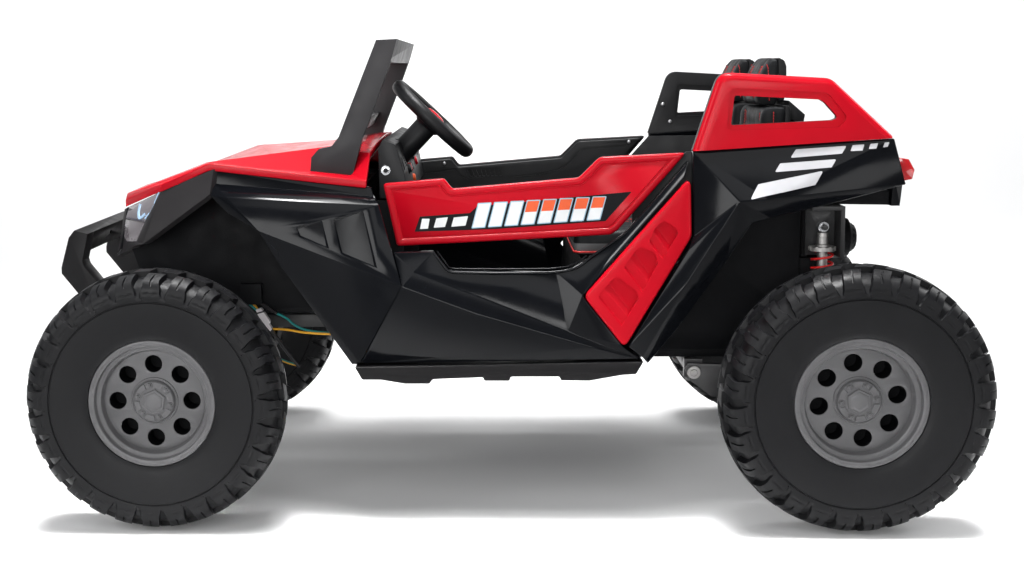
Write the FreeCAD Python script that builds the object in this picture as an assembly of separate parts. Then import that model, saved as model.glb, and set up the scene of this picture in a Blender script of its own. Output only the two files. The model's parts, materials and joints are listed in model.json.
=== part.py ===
import FreeCAD, Part
import math
import os

# Two-seat ride-on buggy for children, at its own size, in millimetres.
# Nose towards -Y, left side +X, ground at Z = 0.
V = FreeCAD.Vector

# ---- driving dimensions ------------------------------------------------
DY = 3.85            # shift that puts the outline's middle at Y = 0
WB2 = 523.3          # half wheelbase
TRACK2 = 372.0       # half track, to the tyre's middle plane
R_TYRE = 200.0       # tyre radius
W_TYRE = 108.0       # tyre width
R_RIM = 96.8         # rim radius
HUB_Z = 200.0        # axle height
X_KING = 290.0       # kingpin distance from the middle plane
L_ARM = 55.0         # steering arm length
Z_TIE = 212.7        # tie rod height
R_KING = 5.0         # kingpin radius
R_STUB = 6.0         # wheel axle radius
CLR = 0.08           # running clearance
X_COL = 130.0        # steering column plane
WHEEL_C = (-106.0, 611.0)      # steering wheel centre (Y, Z)
AX = (0.0, 0.693, 0.721)       # steering axis, up and towards the driver
L_CRANK = 33.0       # crank at the foot of the steering shaft
S_TIE = 538.0        # distance along the axis to the tie rod's plate
DOOR_T = 24.0        # whole door thickness
X_DOOR = 268.0       # door inner face
T_SIDE = 22.0        # side panel thickness
T_QTR = 20.0         # quarter panel thickness
T_HOOD = 11.5        # hood thickness

OUT = {}


# ---- helpers -------------------------------------------------------------
def face(pts):
    return Part.Face(Part.makePolygon([V(*p) for p in pts] + [V(*pts[0])]))


def ext_x(yz, x0, x1):
    return face([(x0, y, z) for y, z in yz]).extrude(V(x1 - x0, 0, 0))


def ext_y(xz, y0, y1):
    return face([(x, y0, z) for x, z in xz]).extrude(V(0, y1 - y0, 0))


def ext_z(xy, z0, z1):
    return face([(x, y, z0) for x, y in xy]).extrude(V(0, 0, z1 - z0))


def box(x0, x1, y0, y1, z0, z1):
    return Part.makeBox(x1 - x0, y1 - y0, z1 - z0, V(x0, y0, z0))


def cyl(p, d, r, h):
    return Part.makeCylinder(r, h, V(*p), V(*d))


def rod(a, b, r):
    a, b = V(*a), V(*b)
    return Part.makeCylinder(r, (b - a).Length, a, b - a)


def fuse(*s):
    r = s[0]
    if len(s) > 1:
        r = s[0].multiFuse(list(s[1:]))
    return r.removeSplitter()


def mir(s):
    return s.mirror(V(0, 0, 0), V(1, 0, 0))


def skin(P, faces, off):
    """Closed solid from a faceted outer sheet and a parallel inner sheet."""
    off = V(*off)
    tris = []
    for f in faces:
        for i in range(1, len(f) - 1):
            tris.append((f[0], f[i], f[i + 1]))
    pv = {k: V(*p) for k, p in P.items()}
    out = []
    fixed = []
    for a, b, c in tris:
        n = (pv[b] - pv[a]).cross(pv[c] - pv[a])
        if n.dot(off) > 0:
            a, b, c = a, c, b
        fixed.append((a, b, c))
    edges = {}
    for t in fixed:
        for i in range(3):
            e = (t[i], t[(i + 1) % 3])
            edges[e] = edges.get(e, 0) + 1
    for a, b, c in fixed:
        out.append(Part.Face(Part.makePolygon([pv[a], pv[b], pv[c], pv[a]])))
        A, B, C = pv[a] + off, pv[b] + off, pv[c] + off
        out.append(Part.Face(Part.makePolygon([A, C, B, A])))
    for (a, b) in edges:
        if (b, a) not in edges:
            A, B = pv[a], pv[b]
            out.append(Part.Face(Part.makePolygon([A, A + off, B + off, B, A])))
    sh = Part.makeShell(out)
    sh.sewShape()
    s = Part.makeSolid(sh)
    if s.Volume < 0:
        s.reverse()
    return s.removeSplitter()


def shrink(P, k=0.985):
    n = len(P)
    c = [sum(p[i] for p in P.values()) / n for i in range(3)]
    return {a: tuple(c[i] + (p[i] - c[i]) * k for i in range(3)) for a, p in P.items()}


def flip(P):
    return {k: (-p[0], p[1], p[2]) for k, p in P.items()}


def along(s, x=X_COL, d=0.0):
    """Point on the steering axis, s below the wheel, d towards down and back."""
    return (x, WHEEL_C[0] - AX[1] * s + AX[2] * d, WHEEL_C[1] - AX[2] * s - AX[1] * d)


def add(name, shape):
    OUT[name] = shape


def both(name, shape):
    add(name + "_left", shape)
    add(name + "_right", mir(shape))


def pair(name, *shapes):
    """Left and right pieces of one kind as separate solids of one node."""
    sol = []
    for shape in shapes:
        sol += shape.Solids
        sol += mir(shape).Solids
    add(name, Part.makeCompound(sol))


# ---- wheels ----------------------------------------------------------------
def tyre(x, y, s):
    h = W_TYRE / 2
    pts = [(-h + 9, 97.0), (-h + 4, 118), (-h, 148), (-h, 163), (-h + 5.4, 180), (-h + 14, 189),
           (-h + 30, 196), (0, R_TYRE), (h - 30, 196), (h - 14, 189), (h - 5.4, 180), (h, 163),
           (h, 148), (h - 4, 118), (h - 9, 97.0)]
    P = [V(x + a, y, HUB_Z + r) for a, r in pts]
    e = []
    for i in range(0, 4):
        e.append(Part.LineSegment(P[i], P[i + 1]).toShape())
    e.append(Part.Arc(P[4], P[5], P[6]).toShape())
    e.append(Part.Arc(P[6], P[7], P[8]).toShape())
    e.append(Part.Arc(P[8], P[9], P[10]).toShape())
    for i in range(10, 14):
        e.append(Part.LineSegment(P[i], P[i + 1]).toShape())
    e.append(Part.LineSegment(P[14], P[0]).toShape())
    f = Part.Face(Part.Wire(e))
    return f.revolve(V(x, y, HUB_Z), V(1, 0, 0), 360)


def rim(x, y, s):
    # s = +1 when the wheel's outer side is +X
    prof = [(-45, R_RIM), (-45, 88), (8, 86), (8, 24), (-38, 22), (-38, R_STUB + CLR), (17, R_STUB + CLR),
            (17, 0), (33, 0), (33, 24), (27, 30), (21, 31), (19, 62), (22, 84), (45, 90), (45, R_RIM)]
    f = face([(x + s * a, y, HUB_Z + r) for a, r in prof])
    w = f.revolve(V(x, y, HUB_Z), V(1, 0, 0), 360)
    for i in range(8):
        t = math.radians(45 * i)
        w = w.cut(cyl((x - s * 5, y + 57 * math.sin(t), HUB_Z + 57 * math.cos(t)), (s, 0, 0), 13, 40))
    return w


for tag, y in (("front", -WB2), ("rear", WB2)):
    for side, s in (("left", 1), ("right", -1)):
        add("tyre_%s_%s" % (tag, side), tyre(s * TRACK2, y, s))
        add("rim_%s_%s" % (tag, side), rim(s * TRACK2, y, s))

# ---- front axle, knuckles, tie rod ------------------------------------------
bush_o = cyl((X_KING, -WB2, 175.5), (0, 0, 1), 12, 50)
bush_i = cyl((X_KING, -WB2, 170), (0, 0, 1), R_KING + CLR, 60)
axle = fuse(box(-284, 284, -WB2 - 12, -WB2 + 12, 188, 212), bush_o, mir(bush_o),
            box(144, 166, -WB2 - 22, -WB2 + 24, 211, 272), box(-166, -144, -WB2 - 22, -WB2 + 24, 211, 272))
axle = axle.cut(bush_i).cut(mir(bush_i))
add("front_axle", axle)

plate = [(276, -WB2 - 13), (312, -WB2 - 13), (312, -WB2 + 13), (276, -WB2 + 13)]
arm = [(283, -WB2 + 10), (297, -WB2 + 10), (297, -WB2 + L_ARM + 7), (283, -WB2 + L_ARM + 7)]
kn = fuse(ext_z(plate, 226.5, 232.5), ext_z(plate, 168, 174), box(304.5, 312, -WB2 - 13, -WB2 + 13, 168, 232.5),
          rod((X_KING, -WB2, 168), (X_KING, -WB2, 232.5), R_KING),
          ext_z(arm, 226.5, 232.5),
          rod((X_KING, -WB2 + L_ARM, 203), (X_KING, -WB2 + L_ARM, 228), 4.0),
          rod((310, -WB2, HUB_Z), (TRACK2 + 15, -WB2, HUB_Z), R_STUB))
both("knuckle", kn)

yt = -WB2 + L_ARM
tie = fuse(rod((-X_KING + 6, yt, Z_TIE), (X_KING - 6, yt, Z_TIE), 6.0),
           cyl((X_KING, yt, Z_TIE - 6), (0, 0, 1), 10, 12), cyl((-X_KING, yt, Z_TIE - 6), (0, 0, 1), 11, 12))
tie = tie.cut(cyl((X_KING, yt, Z_TIE - 10), (0, 0, 1), 4.0 + CLR, 20))
tie = tie.cut(cyl((-X_KING, yt, Z_TIE - 10), (0, 0, 1), 5.2, 20))


def axis_frame_box(s0, s1, d0, d1, hx, x=X_COL):
    """Block in the steering axis' own directions."""
    p = [along(s0, x - hx, d0), along(s0, x + hx, d0), along(s0, x + hx, d1), along(s0, x - hx, d1)]
    f = face(p)
    a, b = V(*along(s0, x, 0)), V(*along(s1, x, 0))
    return f.extrude(b - a)


tab = axis_frame_box(S_TIE - 2.5, S_TIE + 2.5, 15.0, 47.0, 15.0)
slot = axis_frame_box(S_TIE - 6, S_TIE + 6, L_CRANK - 9, L_CRANK + 8, 6.0)
# rod and tab meet at the rod's line, 15 mm from the axis
tie = fuse(tie, tab).cut(slot)
add("tie_rod", tie)

# ---- steering column and wheel -------------------------------------------------
ax = V(*AX)
col = fuse(Part.makeCylinder(19, 92, V(*along(104)), ax),
           Part.makeCylinder(8, 424, V(*along(524)), ax),
           axis_frame_box(516, 524, 0, L_CRANK + 5, 6.5),
           Part.makeCylinder(4.0, 28, V(*along(546, X_COL, L_CRANK)), ax))
add("steering_column", col)
# wheel: rim, hub and three spokes
R_SW, r_SW = 77.0, 11.0
ring = Part.makeTorus(R_SW, r_SW, V(*along(0)), ax)
hub = Part.makeCylinder(30, 26, V(*along(11.8)), ax)
spk = []
for ang in (0, 180, 270):
    t = math.radians(ang)
    dx, dd = math.cos(t), math.sin(t)
    c = V(*along(0))
    u = V(1, 0, 0) * dx + V(0, AX[2], -AX[1]) * (-dd) * -1
    v = ax.cross(u)
    a0, a1, hw = 24.0, 72.0, 9.0
    q = [c + u * a0 - v * hw, c + u * a1 - v * hw, c + u * a1 + v * hw, c + u * a0 + v * hw]
    f = Part.Face(Part.makePolygon(q + [q[0]]))
    s = f.extrude(ax * 9)
    s.translate(ax * -5)
    spk.append(s)
add("steering_wheel", fuse(ring, hub, *spk))

# ---- floor tub and seat base -----------------------------------------------------
foot_cheek = ext_x([(-236, 240), (-150, 240), (-150, 489), (-236, 489)], 256, 262)
floor = fuse(box(-296, 296, -228, 216, 236, 248), box(-242, 242, 210, 505, 236, 248),
             ext_x([(-228, 236), (-216, 248), (-232, 496), (-244, 496), (-240, 236)], -262, 262),
             foot_cheek, mir(foot_cheek))
shaft_clear = Part.makeCylinder(14, 560, V(*along(560)), ax)
floor = floor.cut(shaft_clear)
add("floor_tub", floor)

sb_o = ext_x([(118, 248.4), (500, 248.4), (500, 392), (372, 392), (250, 386), (128, 392)], -242, 242)
sb_w = ext_x([(118, 248.4), (213, 248.4), (249, 295), (316, 388), (250, 386), (128, 392)], -258, 258)
sb_i = ext_x([(124, 240), (494, 240), (494, 386), (372, 386), (250, 380), (133, 386)], -236, 236)
seat_base = fuse(sb_o, sb_w).cut(sb_i)
add("seat_base", seat_base)
add("battery", box(-90, 90, 190, 300, 248.6, 345))

# ---- seats ---------------------------------------------------------------------
cush = []
sback = []
cx0, cx1 = 22, 238
cush = ext_x([(112, 402), (118, 394), (372, 394), (376, 404), (374, 440), (240, 436), (140, 448), (112, 440)], cx0, cx1)
both("seat_cushion", cush)
sback = ext_x([(382, 404), (436, 396), (446, 500), (447, 600), (449, 640), (449, 690), (438, 703), (424, 706), (411, 697),
               (399, 652), (403, 600), (388, 470)], cx0, cx1)
both("seat_back", sback)

cheek = ext_x([(205, 392.5), (322, 397), (360, 464), (400, 474), (478, 486), (478, 560), (286, 560), (205, 470)], 260, 264)
bulk = fuse(box(-240, 240, 468, 477, 394, 500), box(-290, 290, 468, 477, 485, 500), box(-206, 206, 459, 477, 494, 502),
            box(-206, 206, 459, 468, 494, 606), ext_x([(451, 634), (476, 612), (474.5, 602), (451, 604)], -206, 206),
            cheek, mir(cheek))
add("rear_bulkhead", bulk)

# ---- hood ----------------------------------------------------------------------
H = {"m0": (0, -617, 498), "m0b": (0, -619, 486.5), "m1": (0, -478, 538), "m2": (0, -408, 563), "m3": (0, -343, 561),
     "m4": (0, -286, 568), "m5": (0, -190, 583),
     "n1": (188, -604, 499), "n1b": (190, -607, 487.4),
     "k1": (120, -436, 543), "k2": (125, -378, 556), "k3": (140, -300, 566), "k4": (150, -192, 580),
     "u1": (262, -457, 552.5), "u2": (264, -294, 537.5), "u3": (270, -228, 529),
     "e1": (290, -524, 520.5), "e2": (290, -448, 552.5), "e3": (290, -275, 531), "e4": (290, -204, 522.5), "e5": (262, -200, 564)}
HF = [("m0", "n1", "m1"), ("n1", "k1", "m1"), ("n1", "u1", "k1"), ("m1", "k1", "m2"), ("k1", "k2", "m2"),
      ("k1", "u1", "k2"), ("u1", "u2", "k3"), ("u1", "k3", "k2"), ("m2", "k2", "m3"), ("k2", "k3", "m3"),
      ("m3", "k3", "m4"), ("k3", "k4", "m4"), ("m4", "k4", "m5"), ("u2", "u3", "k3"), ("u3", "e5", "k3"),
      ("e5", "k4", "k3"), ("n1", "n1b", "e1"), ("n1", "e1", "u1"), ("u1", "e1", "e2"), ("u1", "e2", "e3"),
      ("u1", "e3", "u2"), ("u2", "e3", "e4"), ("u2", "e4", "u3"), ("u3", "e4", "e5"), ("m0", "n1", "n1b"),
      ("m0", "n1b", "m0b")]


def mirrored(P, F):
    Q = dict(P)
    for k, p in P.items():
        if abs(p[0]) > 1e-6:
            Q[k + "R"] = (-p[0], p[1], p[2])
    G = list(F)
    for f in F:
        G.append(tuple(k + "R" if k + "R" in Q else k for k in f))
    return Q, G


HP, HG = mirrored(H, HF)
add("hood", skin(HP, HG, (0, 0, -T_HOOD)))
hood_block = skin(HP, HG, (0, 0, -70))

# ---- windshield frame --------------------------------------------------------
post = ext_x([(-187, 737), (-248, 589), (-259, 575), (-279, 571), (-291, 558), (-293, 536), (-228, 527), (-212, 584),
              (-182, 660), (-163, 710), (-155, 738)], 243, 267)
bar = ext_x([(-187, 737), (-201, 703), (-166, 703), (-163, 710), (-155, 738)], -260, 260)
low = ext_x([(-236, 612), (-248, 589), (-232, 589), (-220, 612)], -250, 250)
wf = fuse(post, mir(post), bar, low).cut(hood_block)
wf = [s for s in wf.Solids if s.Volume > 50000][0]
add("windshield_frame", wf)

# ---- dashboard ------------------------------------------------------------------
dash = ext_x([(-187, 570), (-180, 584), (-160, 576), (-146, 530), (-140, 492), (-186, 492)], -262, 262)
dash = dash.cut(Part.makeCylinder(23, 300, V(*along(250)), ax))
add("dashboard", dash)

# ---- front fascia, grille, lamps ---------------------------------------------------
C = {"a": (190, -609, 473), "b": (203, -599, 478), "c": (288, -526, 509), "d": (292, -441, 543), "e": (302, -446, 505),
     "f": (298, -554, 429), "g": (250, -580, 420), "h": (190, -624, 396), "l3": (206, -604, 459), "l4": (268, -558, 459),
     "l5": (200, -611, 432), "l6": (214, -602, 422), "l7": (250, -577, 426)}
CF = [("c", "d", "e"), ("c", "e", "f"), ("c", "f", "l4"), ("l4", "f", "l7"), ("l7", "f", "g"), ("l6", "l7", "g"),
      ("h", "l6", "g"), ("h", "l5", "l6"), ("a", "l5", "h"), ("a", "l3", "l5"), ("a", "b", "l3")]
fascia = skin(C, CF, (-11, 11, 0))
lamp = skin(shrink({k: C[k] for k in ("b", "c", "l4", "l3")}, 0.98), [("b", "c", "l4"), ("b", "l4", "l3")], (-9, 9, 0))
lamp = max(lamp.cut(OUT["hood"]).Solids, key=lambda a: a.Volume)
pair("headlights", lamp)
pair("fog_lamps", skin(shrink({k: C[k] for k in ("l3", "l4", "l7", "l6", "l5")}, 0.97),
                      [("l3", "l4", "l7"), ("l3", "l7", "l6"), ("l3", "l6", "l5")], (-9, 9, 0)))
gr = ext_x([(-609.5, 473), (-621, 400), (-609, 398), (-597, 473)], -176, 176)
for i in range(4):
    z = 412 + 15 * i
    gr = gr.cut(box(-150 + 8 * (3 - i), 150 - 8 * (3 - i), -640, -580, z, z + 8))
add("front_grille", gr)

# ---- front inner liner ------------------------------------------------------------
lo = ext_x([(-592, 414), (-572, 352), (-440, 306), (-262, 306), (-246.5, 330), (-246.5, 486), (-300, 514), (-430, 526),
            (-520, 490)], -222, 222)
li = ext_x([(-585, 420), (-567, 358), (-438, 312), (-265, 312), (-252.5, 332), (-252.5, 600), (-585, 600)], -216, 216)
liner = lo.cut(li).cut(shaft_clear)

# ---- steel front frame ---------------------------------------------------------------
fr = []
for s in (1, -1):
    x0, x1 = (144, 166) if s > 0 else (-166, -144)
    fr.append(box(x0, x1, -640, -245, 272.3, 294))
fr.append(box(-166, 166, -300, -276, 272.3, 294))
fr.append(box(-166, 166, -640, -616, 272.3, 294))
add("front_frame", fuse(*fr))

# ---- bull bar -----------------------------------------------------------------------
endyz = [(-679.5, 430), (-701.8, 435.8), (-711.4, 424), (-726, 374), (-726, 364), (-697, 327), (-668, 294.3), (-606, 294.3),
         (-606, 318), (-632, 330), (-650, 338), (-666.7, 349), (-688, 376), (-690.6, 385)]
end_l = ext_x(endyz, 122, 166)
cross_hi = ext_x([(-679.5, 430), (-701.8, 435.8), (-711.4, 424), (-718, 399), (-690, 397)], -150, 150)
cross_lo = ext_x([(-691, 318), (-668, 294.3), (-645, 294.3), (-660, 318)], -150, 150)
bb = fuse(end_l, mir(end_l), cross_lo, cross_hi)
bb = bb.cut(cyl((0, -735, 415.5), (0, 1, 0), 3.2, 70))
add("bull_bar", bb)

# ---- front fenders ---------------------------------------------------------------------
Fp = {"F1": (287, -438, 541), "F2": (287, -197, 511.5), "F3": (291, -441, 521), "F4": (291, -194, 499),
      "F5": (314, -416, 500), "F6": (314, -190, 497), "F7": (332, -367, 451), "F8": (326, -183, 488),
      "F9": (340, -149, 366), "F10": (336, -215, 246), "A1": (306, -444, 503), "A2": (314, -417, 477),
      "A4": (334, -338, 403), "A5": (334, -227, 243.5)}
Ff = [("F1", "F2", "F4"), ("F1", "F4", "F3"), ("F3", "F4", "F6"), ("F3", "F6", "F5"), ("F5", "F6", "F8"), ("F5", "F8", "F7"),
      ("F7", "F8", "F9"), ("F7", "F9", "F10"), ("F7", "F10", "A4"), ("A4", "F10", "A5"), ("F3", "F5", "A1"), ("A1", "F5", "A2"),
      ("A2", "F5", "F7")]
fen = skin(Fp, Ff, (-18, 0, 0))
fen = fen.cut(ext_z([(280, -182.8), (294.75, -182.8), (346, -153.2), (346, -120), (280, -120)], 414, 530))
fen = max(fen.cut(OUT["hood"]).Solids, key=lambda a: a.Volume)
pair("front_fenders", fen)
fascia = max(fascia.cut(OUT["hood"]).cut(fen).Solids, key=lambda a: a.Volume)
pair("front_fascia", fascia)
boss = box(216, 240, -414, -380, 322, 355)
add("front_liner", liner.cut(fascia).cut(mir(fascia)).fuse(boss).fuse(mir(boss)).removeSplitter())


def wire(pts, d):
    """Straight runs joined by tangent arcs, swept with a round section."""
    P = [V(*q) for q in pts]
    edges, prev, length = [], P[0], 0.0
    for i in range(1, len(P) - 1):
        a, b = P[i - 1] - P[i], P[i + 1] - P[i]
        la, lb = a.Length, b.Length
        a.normalize()
        b.normalize()
        half = (math.pi - a.getAngle(b)) / 2
        t = 0.45 * min(la, lb)
        r = t / math.tan(half)
        p1, p2 = P[i] + a * t, P[i] + b * t
        m = (a + b).normalize()
        c = P[i] + m * math.sqrt(r * r + t * t)
        edges.append(Part.LineSegment(prev, p1).toShape())
        edges.append(Part.Arc(p1, c - m * r, p2).toShape())
        print("wire arc radius", round(r, 1), "diameter", d)
        prev = p2
    edges.append(Part.LineSegment(prev, P[-1]).toShape())
    w = Part.Wire(edges)
    n = P[1] - P[0]
    circ = Part.Wire([Part.makeCircle(d / 2, P[0], n)])
    s = w.makePipeShell([circ], True, True)
    s = s if s.ShapeType == "Solid" else Part.makeSolid(s)
    print("wire volume", round(s.Volume, 1), "section times length", round(math.pi * d * d / 4 * w.Length, 1))
    return s


TEAL = [(225, -358, 305.2), (225, -343, 299), (225, -329, 284), (225, -300, 273.5), (225, -240.4, 271)]
AMBER = [(230, -366.5, 280.3), (230, -346, 281), (230, -308, 272.5), (230, -240.4, 271)]
SLEEVE = [(235.5, -368, 282), (235.5, -353, 261), (235.5, -341, 243), (234.5, -322, 219)]
LOW = [(234.5, -324, 221.5), (227, -349, 226), (203, -380, 238), (170, -396, 256), (160, -402, 269)]
w1 = wire(TEAL, 3.8)
plug2 = ext_x([(-386, 322.5), (-377.5, 322.5), (-368.5, 316.3), (-355.8, 306.5), (-358.3, 304), (-371.8, 311.5), (-380, 316)], 222.5, 230.5)
w2 = wire(AMBER, 3.8)
plug1 = ext_x([(-390.2, 313.5), (-381.2, 315.9), (-367.2, 293.8), (-368.9, 289.7), (-364.3, 281.5), (-367.6, 278.2),
               (-375.5, 288.1), (-382.7, 292.2)], 227, 239)
w3 = rod((230, -396, 323), (230, -387, 312), 1.9)
w4 = rod((234.5, -401, 323), (234.5, -388, 311), 1.9)
sleeve = wire(SLEEVE, 6.5)
w5 = wire(LOW, 4.6)
harness_a = fuse(w1, plug2)
harness_b = fuse(plug1, w2, w3, w4, sleeve, w5)
front_wiring = Part.makeCompound(harness_a.Solids + harness_b.Solids)
print("wiring solids", len(front_wiring.Solids))

# ---- side panels, steps -------------------------------------------------------------------
S = {"B0": (337, -214.4, 245.5), "B1": (344, 211, 252.5), "G0": (342, -148.3, 365.6), "L1": (349, -36.6, 324.5),
     "L2": (348, 143, 270.5), "U0": (333, -131, 385.5), "U1": (339, -36.5, 350.5), "U2": (343, 103.6, 295),
     "S3": (318, -162, 414), "S4": (325, -101, 416), "S5": (331, -79, 386), "S6": (333, 86, 383), "S6b": (332, 110, 388),
     "S7": (330, 131, 400), "S8": (321, 189, 440), "T1": (302, 285, 548), "V1": (318, 277, 525), "V4": (346, 124, 350),
     "V3": (346, 184.5, 273)}
SF = [("S3", "U0", "G0"), ("S3", "S4", "U0"), ("S4", "S5", "U0"), ("U0", "S5", "U1"), ("S5", "S6", "U1"), ("U1", "S6", "U2"),
      ("S6", "V4", "U2"), ("U2", "V4", "V3"), ("U2", "V3", "B1"), ("G0", "U0", "U1"), ("G0", "U1", "L1"), ("L1", "U1", "U2"),
      ("L1", "U2", "L2"), ("L2", "U2", "B1"), ("G0", "L1", "B0"), ("L1", "L2", "B0"), ("L2", "B1", "B0"), ("S6", "S6b", "V4"),
      ("S6b", "S7", "V4"), ("S7", "S8", "V4"), ("S8", "V1", "V4"), ("S8", "T1", "V1")]
pair("side_panels", skin(S, SF, (-T_SIDE, 0, 0)))

stp = ext_x([(-222, 241.5), (216, 249.5), (205, 230), (184, 228.7), (135, 220), (92, 220.5), (90, 226.5), (16, 226.4),
             (14, 220), (-24, 220), (-26, 225.5), (-103, 222.5), (-108, 215.5), (-145, 215.5), (-182, 221.8), (-211, 221.9)],
            297, 348)
pair("side_steps", stp)


def vent_x(y, z):
    return 350 - 0.0962 * (y - 128) - 0.0765 * (z - 349)


vyz = [(280, 520), (286.5, 512), (288, 438), (278, 420), (193, 280), (186, 276.5), (180, 280), (131, 343), (129, 349), (134, 359)]
vp = {"v%d" % i: (vent_x(y, z), y, z) for i, (y, z) in enumerate(vyz)}
vent = skin(vp, [tuple("v%d" % i for i in range(len(vyz)))], (-15, 0, 0))
for poly in ([(232, 449), (246, 462), (265, 449), (267, 441), (244, 403), (224, 430)],
             [(186, 392), (208, 423), (232, 414), (237, 398), (214, 354)],
             [(147, 349), (173, 380), (204, 358), (208, 345), (182, 304)]):
    q = {"q%d" % i: (vent_x(y, z) + 3, y, z) for i, (y, z) in enumerate(poly)}
    vent = vent.cut(skin(q, [tuple("q%d" % i for i in range(len(poly)))], (-10, 0, 0)))
pair("side_vents", vent)

# ---- rear quarters -------------------------------------------------------------------------
Q = {"Q1": (314, 289.5, 563), "Q2": (318, 583, 579), "Q3": (322, 601, 511), "Q4": (325, 494, 484), "Q5": (330, 403, 463),
     "Q6": (334, 375, 456), "Q7": (332, 340, 400), "Q7b": (335, 264, 293), "Q8": (340, 223, 245),
     "R1": (344, 355, 490), "R2": (347, 280, 370), "R3": (346, 214, 256), "U1": (340, 396, 492),
     "V2": (324, 291.5, 437), "V2b": (332, 282, 416), "V3": (346, 193, 272)}
QF = [("Q1", "Q2", "U1"), ("Q1", "U1", "R1"), ("Q1", "R1", "V2"), ("V2", "R1", "V2b"), ("V2b", "R1", "R2"), ("V2b", "R2", "V3"),
      ("V3", "R2", "R3"),
      ("R1", "Q6", "Q7"), ("R1", "Q7", "R2"), ("R2", "Q7", "Q7b"), ("R2", "Q7b", "R3"), ("R3", "Q7b", "Q8"),
      ("R1", "U1", "Q5"), ("R1", "Q5", "Q6"), ("U1", "Q2", "Q3"), ("U1", "Q3", "Q4"), ("U1", "Q4", "Q5")]
pair("rear_quarters", skin(Q, QF, (-T_QTR, 0, 0)))

# ---- sport bars ----------------------------------------------------------------------------
so = [(288.5, 563.6), (320.5, 663.5), (329, 673.5), (344, 679.2), (482, 669.3), (498, 660.8), (578.5, 585.5), (577.5, 579.4)]
si = [(344.5, 601.5), (349, 645.5), (474, 637.5), (481, 633), (499, 613), (498, 609.5), (492, 607)]
pair("sport_bars", ext_x(so, 296, 322).cut(ext_x(si, 280, 340)))

# ---- rear deck, tail panel, tail lamps ----------------------------------------------------------
add("cargo_bed", ext_x([(480, 500), (586, 500), (586, 478), (495, 480), (480, 490)], -292, 292))
tail = ext_x([(571, 578), (583, 578), (603, 511), (600, 477), (587, 477), (589, 511)], -297, 297)
tail = fuse(tail)
both_t = ext_x([(592.5, 548), (614, 546), (623, 530), (620, 516), (602.5, 513)], 225, 285)
tail = tail.cut(ext_x([(588, 552), (630, 552), (630, 510), (598, 510)], 222, 288)).cut(
    ext_x([(588, 552), (630, 552), (630, 510), (598, 510)], -288, -222))
add("tail_panel", tail)
tl = ext_x([(590, 550), (614, 546), (623, 530), (620, 516), (600, 512)], 223.5, 286.5)
pair("tail_lamps", tl)

# ---- rear wheel wells ------------------------------------------------------------------------
well = ext_x([(226, 249), (262, 291), (338, 396), (371, 452), (403, 459), (464, 473), (464, 480), (400, 468), (365, 460),
              (331, 401), (256, 296), (219, 254)], 244, 303)
wall = ext_x([(219, 249), (500, 249), (500, 300), (464, 300), (464, 480), (400, 468), (365, 460), (331, 401), (256, 296),
              (219, 254)], 244, 250)
pair("rear_wheel_wells", fuse(well, wall))

# ---- swing arm, axle, gearboxes, shocks ----------------------------------------------------------
piv = (302, 217)
sidearm = ext_x([(288, 222), (292, 231), (350, 229), (470, 224), (476, 268), (482, 274), (496, 274), (502, 268), (506, 222),
                 (540, 212), (542, 186), (520, 182), (420, 176), (330, 178), (296, 204)], 262, 270)
sidearm = sidearm.fuse(rod((269, 489, 262), (300, 489, 262), 4.0))
swing = fuse(sidearm, mir(sidearm), rod((-270, piv[0], piv[1]), (270, piv[0], piv[1]), 10),
             box(-264, 264, 440, 460, 186, 206))
swing = swing.cut(cyl((-300, WB2, HUB_Z), (1, 0, 0), R_STUB + 0.05, 600))
add("swing_arm", swing)
br = box(248, 260, 288, 316, 207, 236)
br = br.cut(cyl((240, piv[0], piv[1]), (1, 0, 0), 10.2, 40))
add("rear_axle", rod((-TRACK2 - 15, WB2, HUB_Z), (TRACK2 + 15, WB2, HUB_Z), R_STUB))
gb = fuse(cyl((271.5, WB2, HUB_Z), (1, 0, 0), 46, 37.5), cyl((271.5, WB2 - 70, HUB_Z + 4), (1, 0, 0), 28, 37.5),
          ext_x([(WB2 - 70, HUB_Z + 30), (WB2, HUB_Z + 44), (WB2, HUB_Z - 44), (WB2 - 70, HUB_Z - 22)], 274, 306))
gb = gb.cut(cyl((200, WB2, HUB_Z), (1, 0, 0), R_STUB + 0.3, 200))
xs, ys = 290.0, 489.0
tower = fuse(box(262, 268, 468, 516, 400, 478), box(262, 310, 511, 517, 400, 478), box(262, 310, 468, 517, 472, 478),
             rod((262, ys, 446), (308, ys, 446), 4.0))
pair("steel_brackets", tower, br)
shk = fuse(cyl((xs - 7, ys, 446), (1, 0, 0), 8.5, 14), rod((xs, ys, 440), (xs, ys, 330), 8.5),
           rod((xs, ys, 416), (xs, ys, 409), 20.5), rod((xs, ys, 409), (xs, ys, 292), 17.5),
           rod((xs, ys, 292), (xs, ys, 286), 20.5), rod((xs, ys, 286), (xs, ys, 268), 9), cyl((xs - 8, ys, 262), (1, 0, 0), 10, 16))
shk = shk.cut(cyl((xs - 20, ys, 446), (1, 0, 0), 4.2, 40)).cut(cyl((xs - 20, ys, 262), (1, 0, 0), 4.2, 40))
pair("shocks", shk)
pair("gearboxes", gb)

# ---- doors: outer shell and inner trim ----------------------------------------------------------
dyz = [(-178, 518), (-84, 525), (-72, 509), (122, 524), (153, 555), (213, 559), (272, 560), (277, 553), (181, 443),
       (170, 436), (-158, 421)]
x_mid = X_DOOR + 10
both("door", ext_x(dyz, x_mid + 0.4, X_DOOR + DOOR_T))
tyz = [(-172, 514), (-87, 521), (-75, 505), (124, 520), (155, 551), (213, 555), (268, 556), (271, 552), (178, 447),
       (168, 440), (-153, 425)]
both("door_trim", ext_x(tyz, X_DOOR, x_mid))

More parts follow.
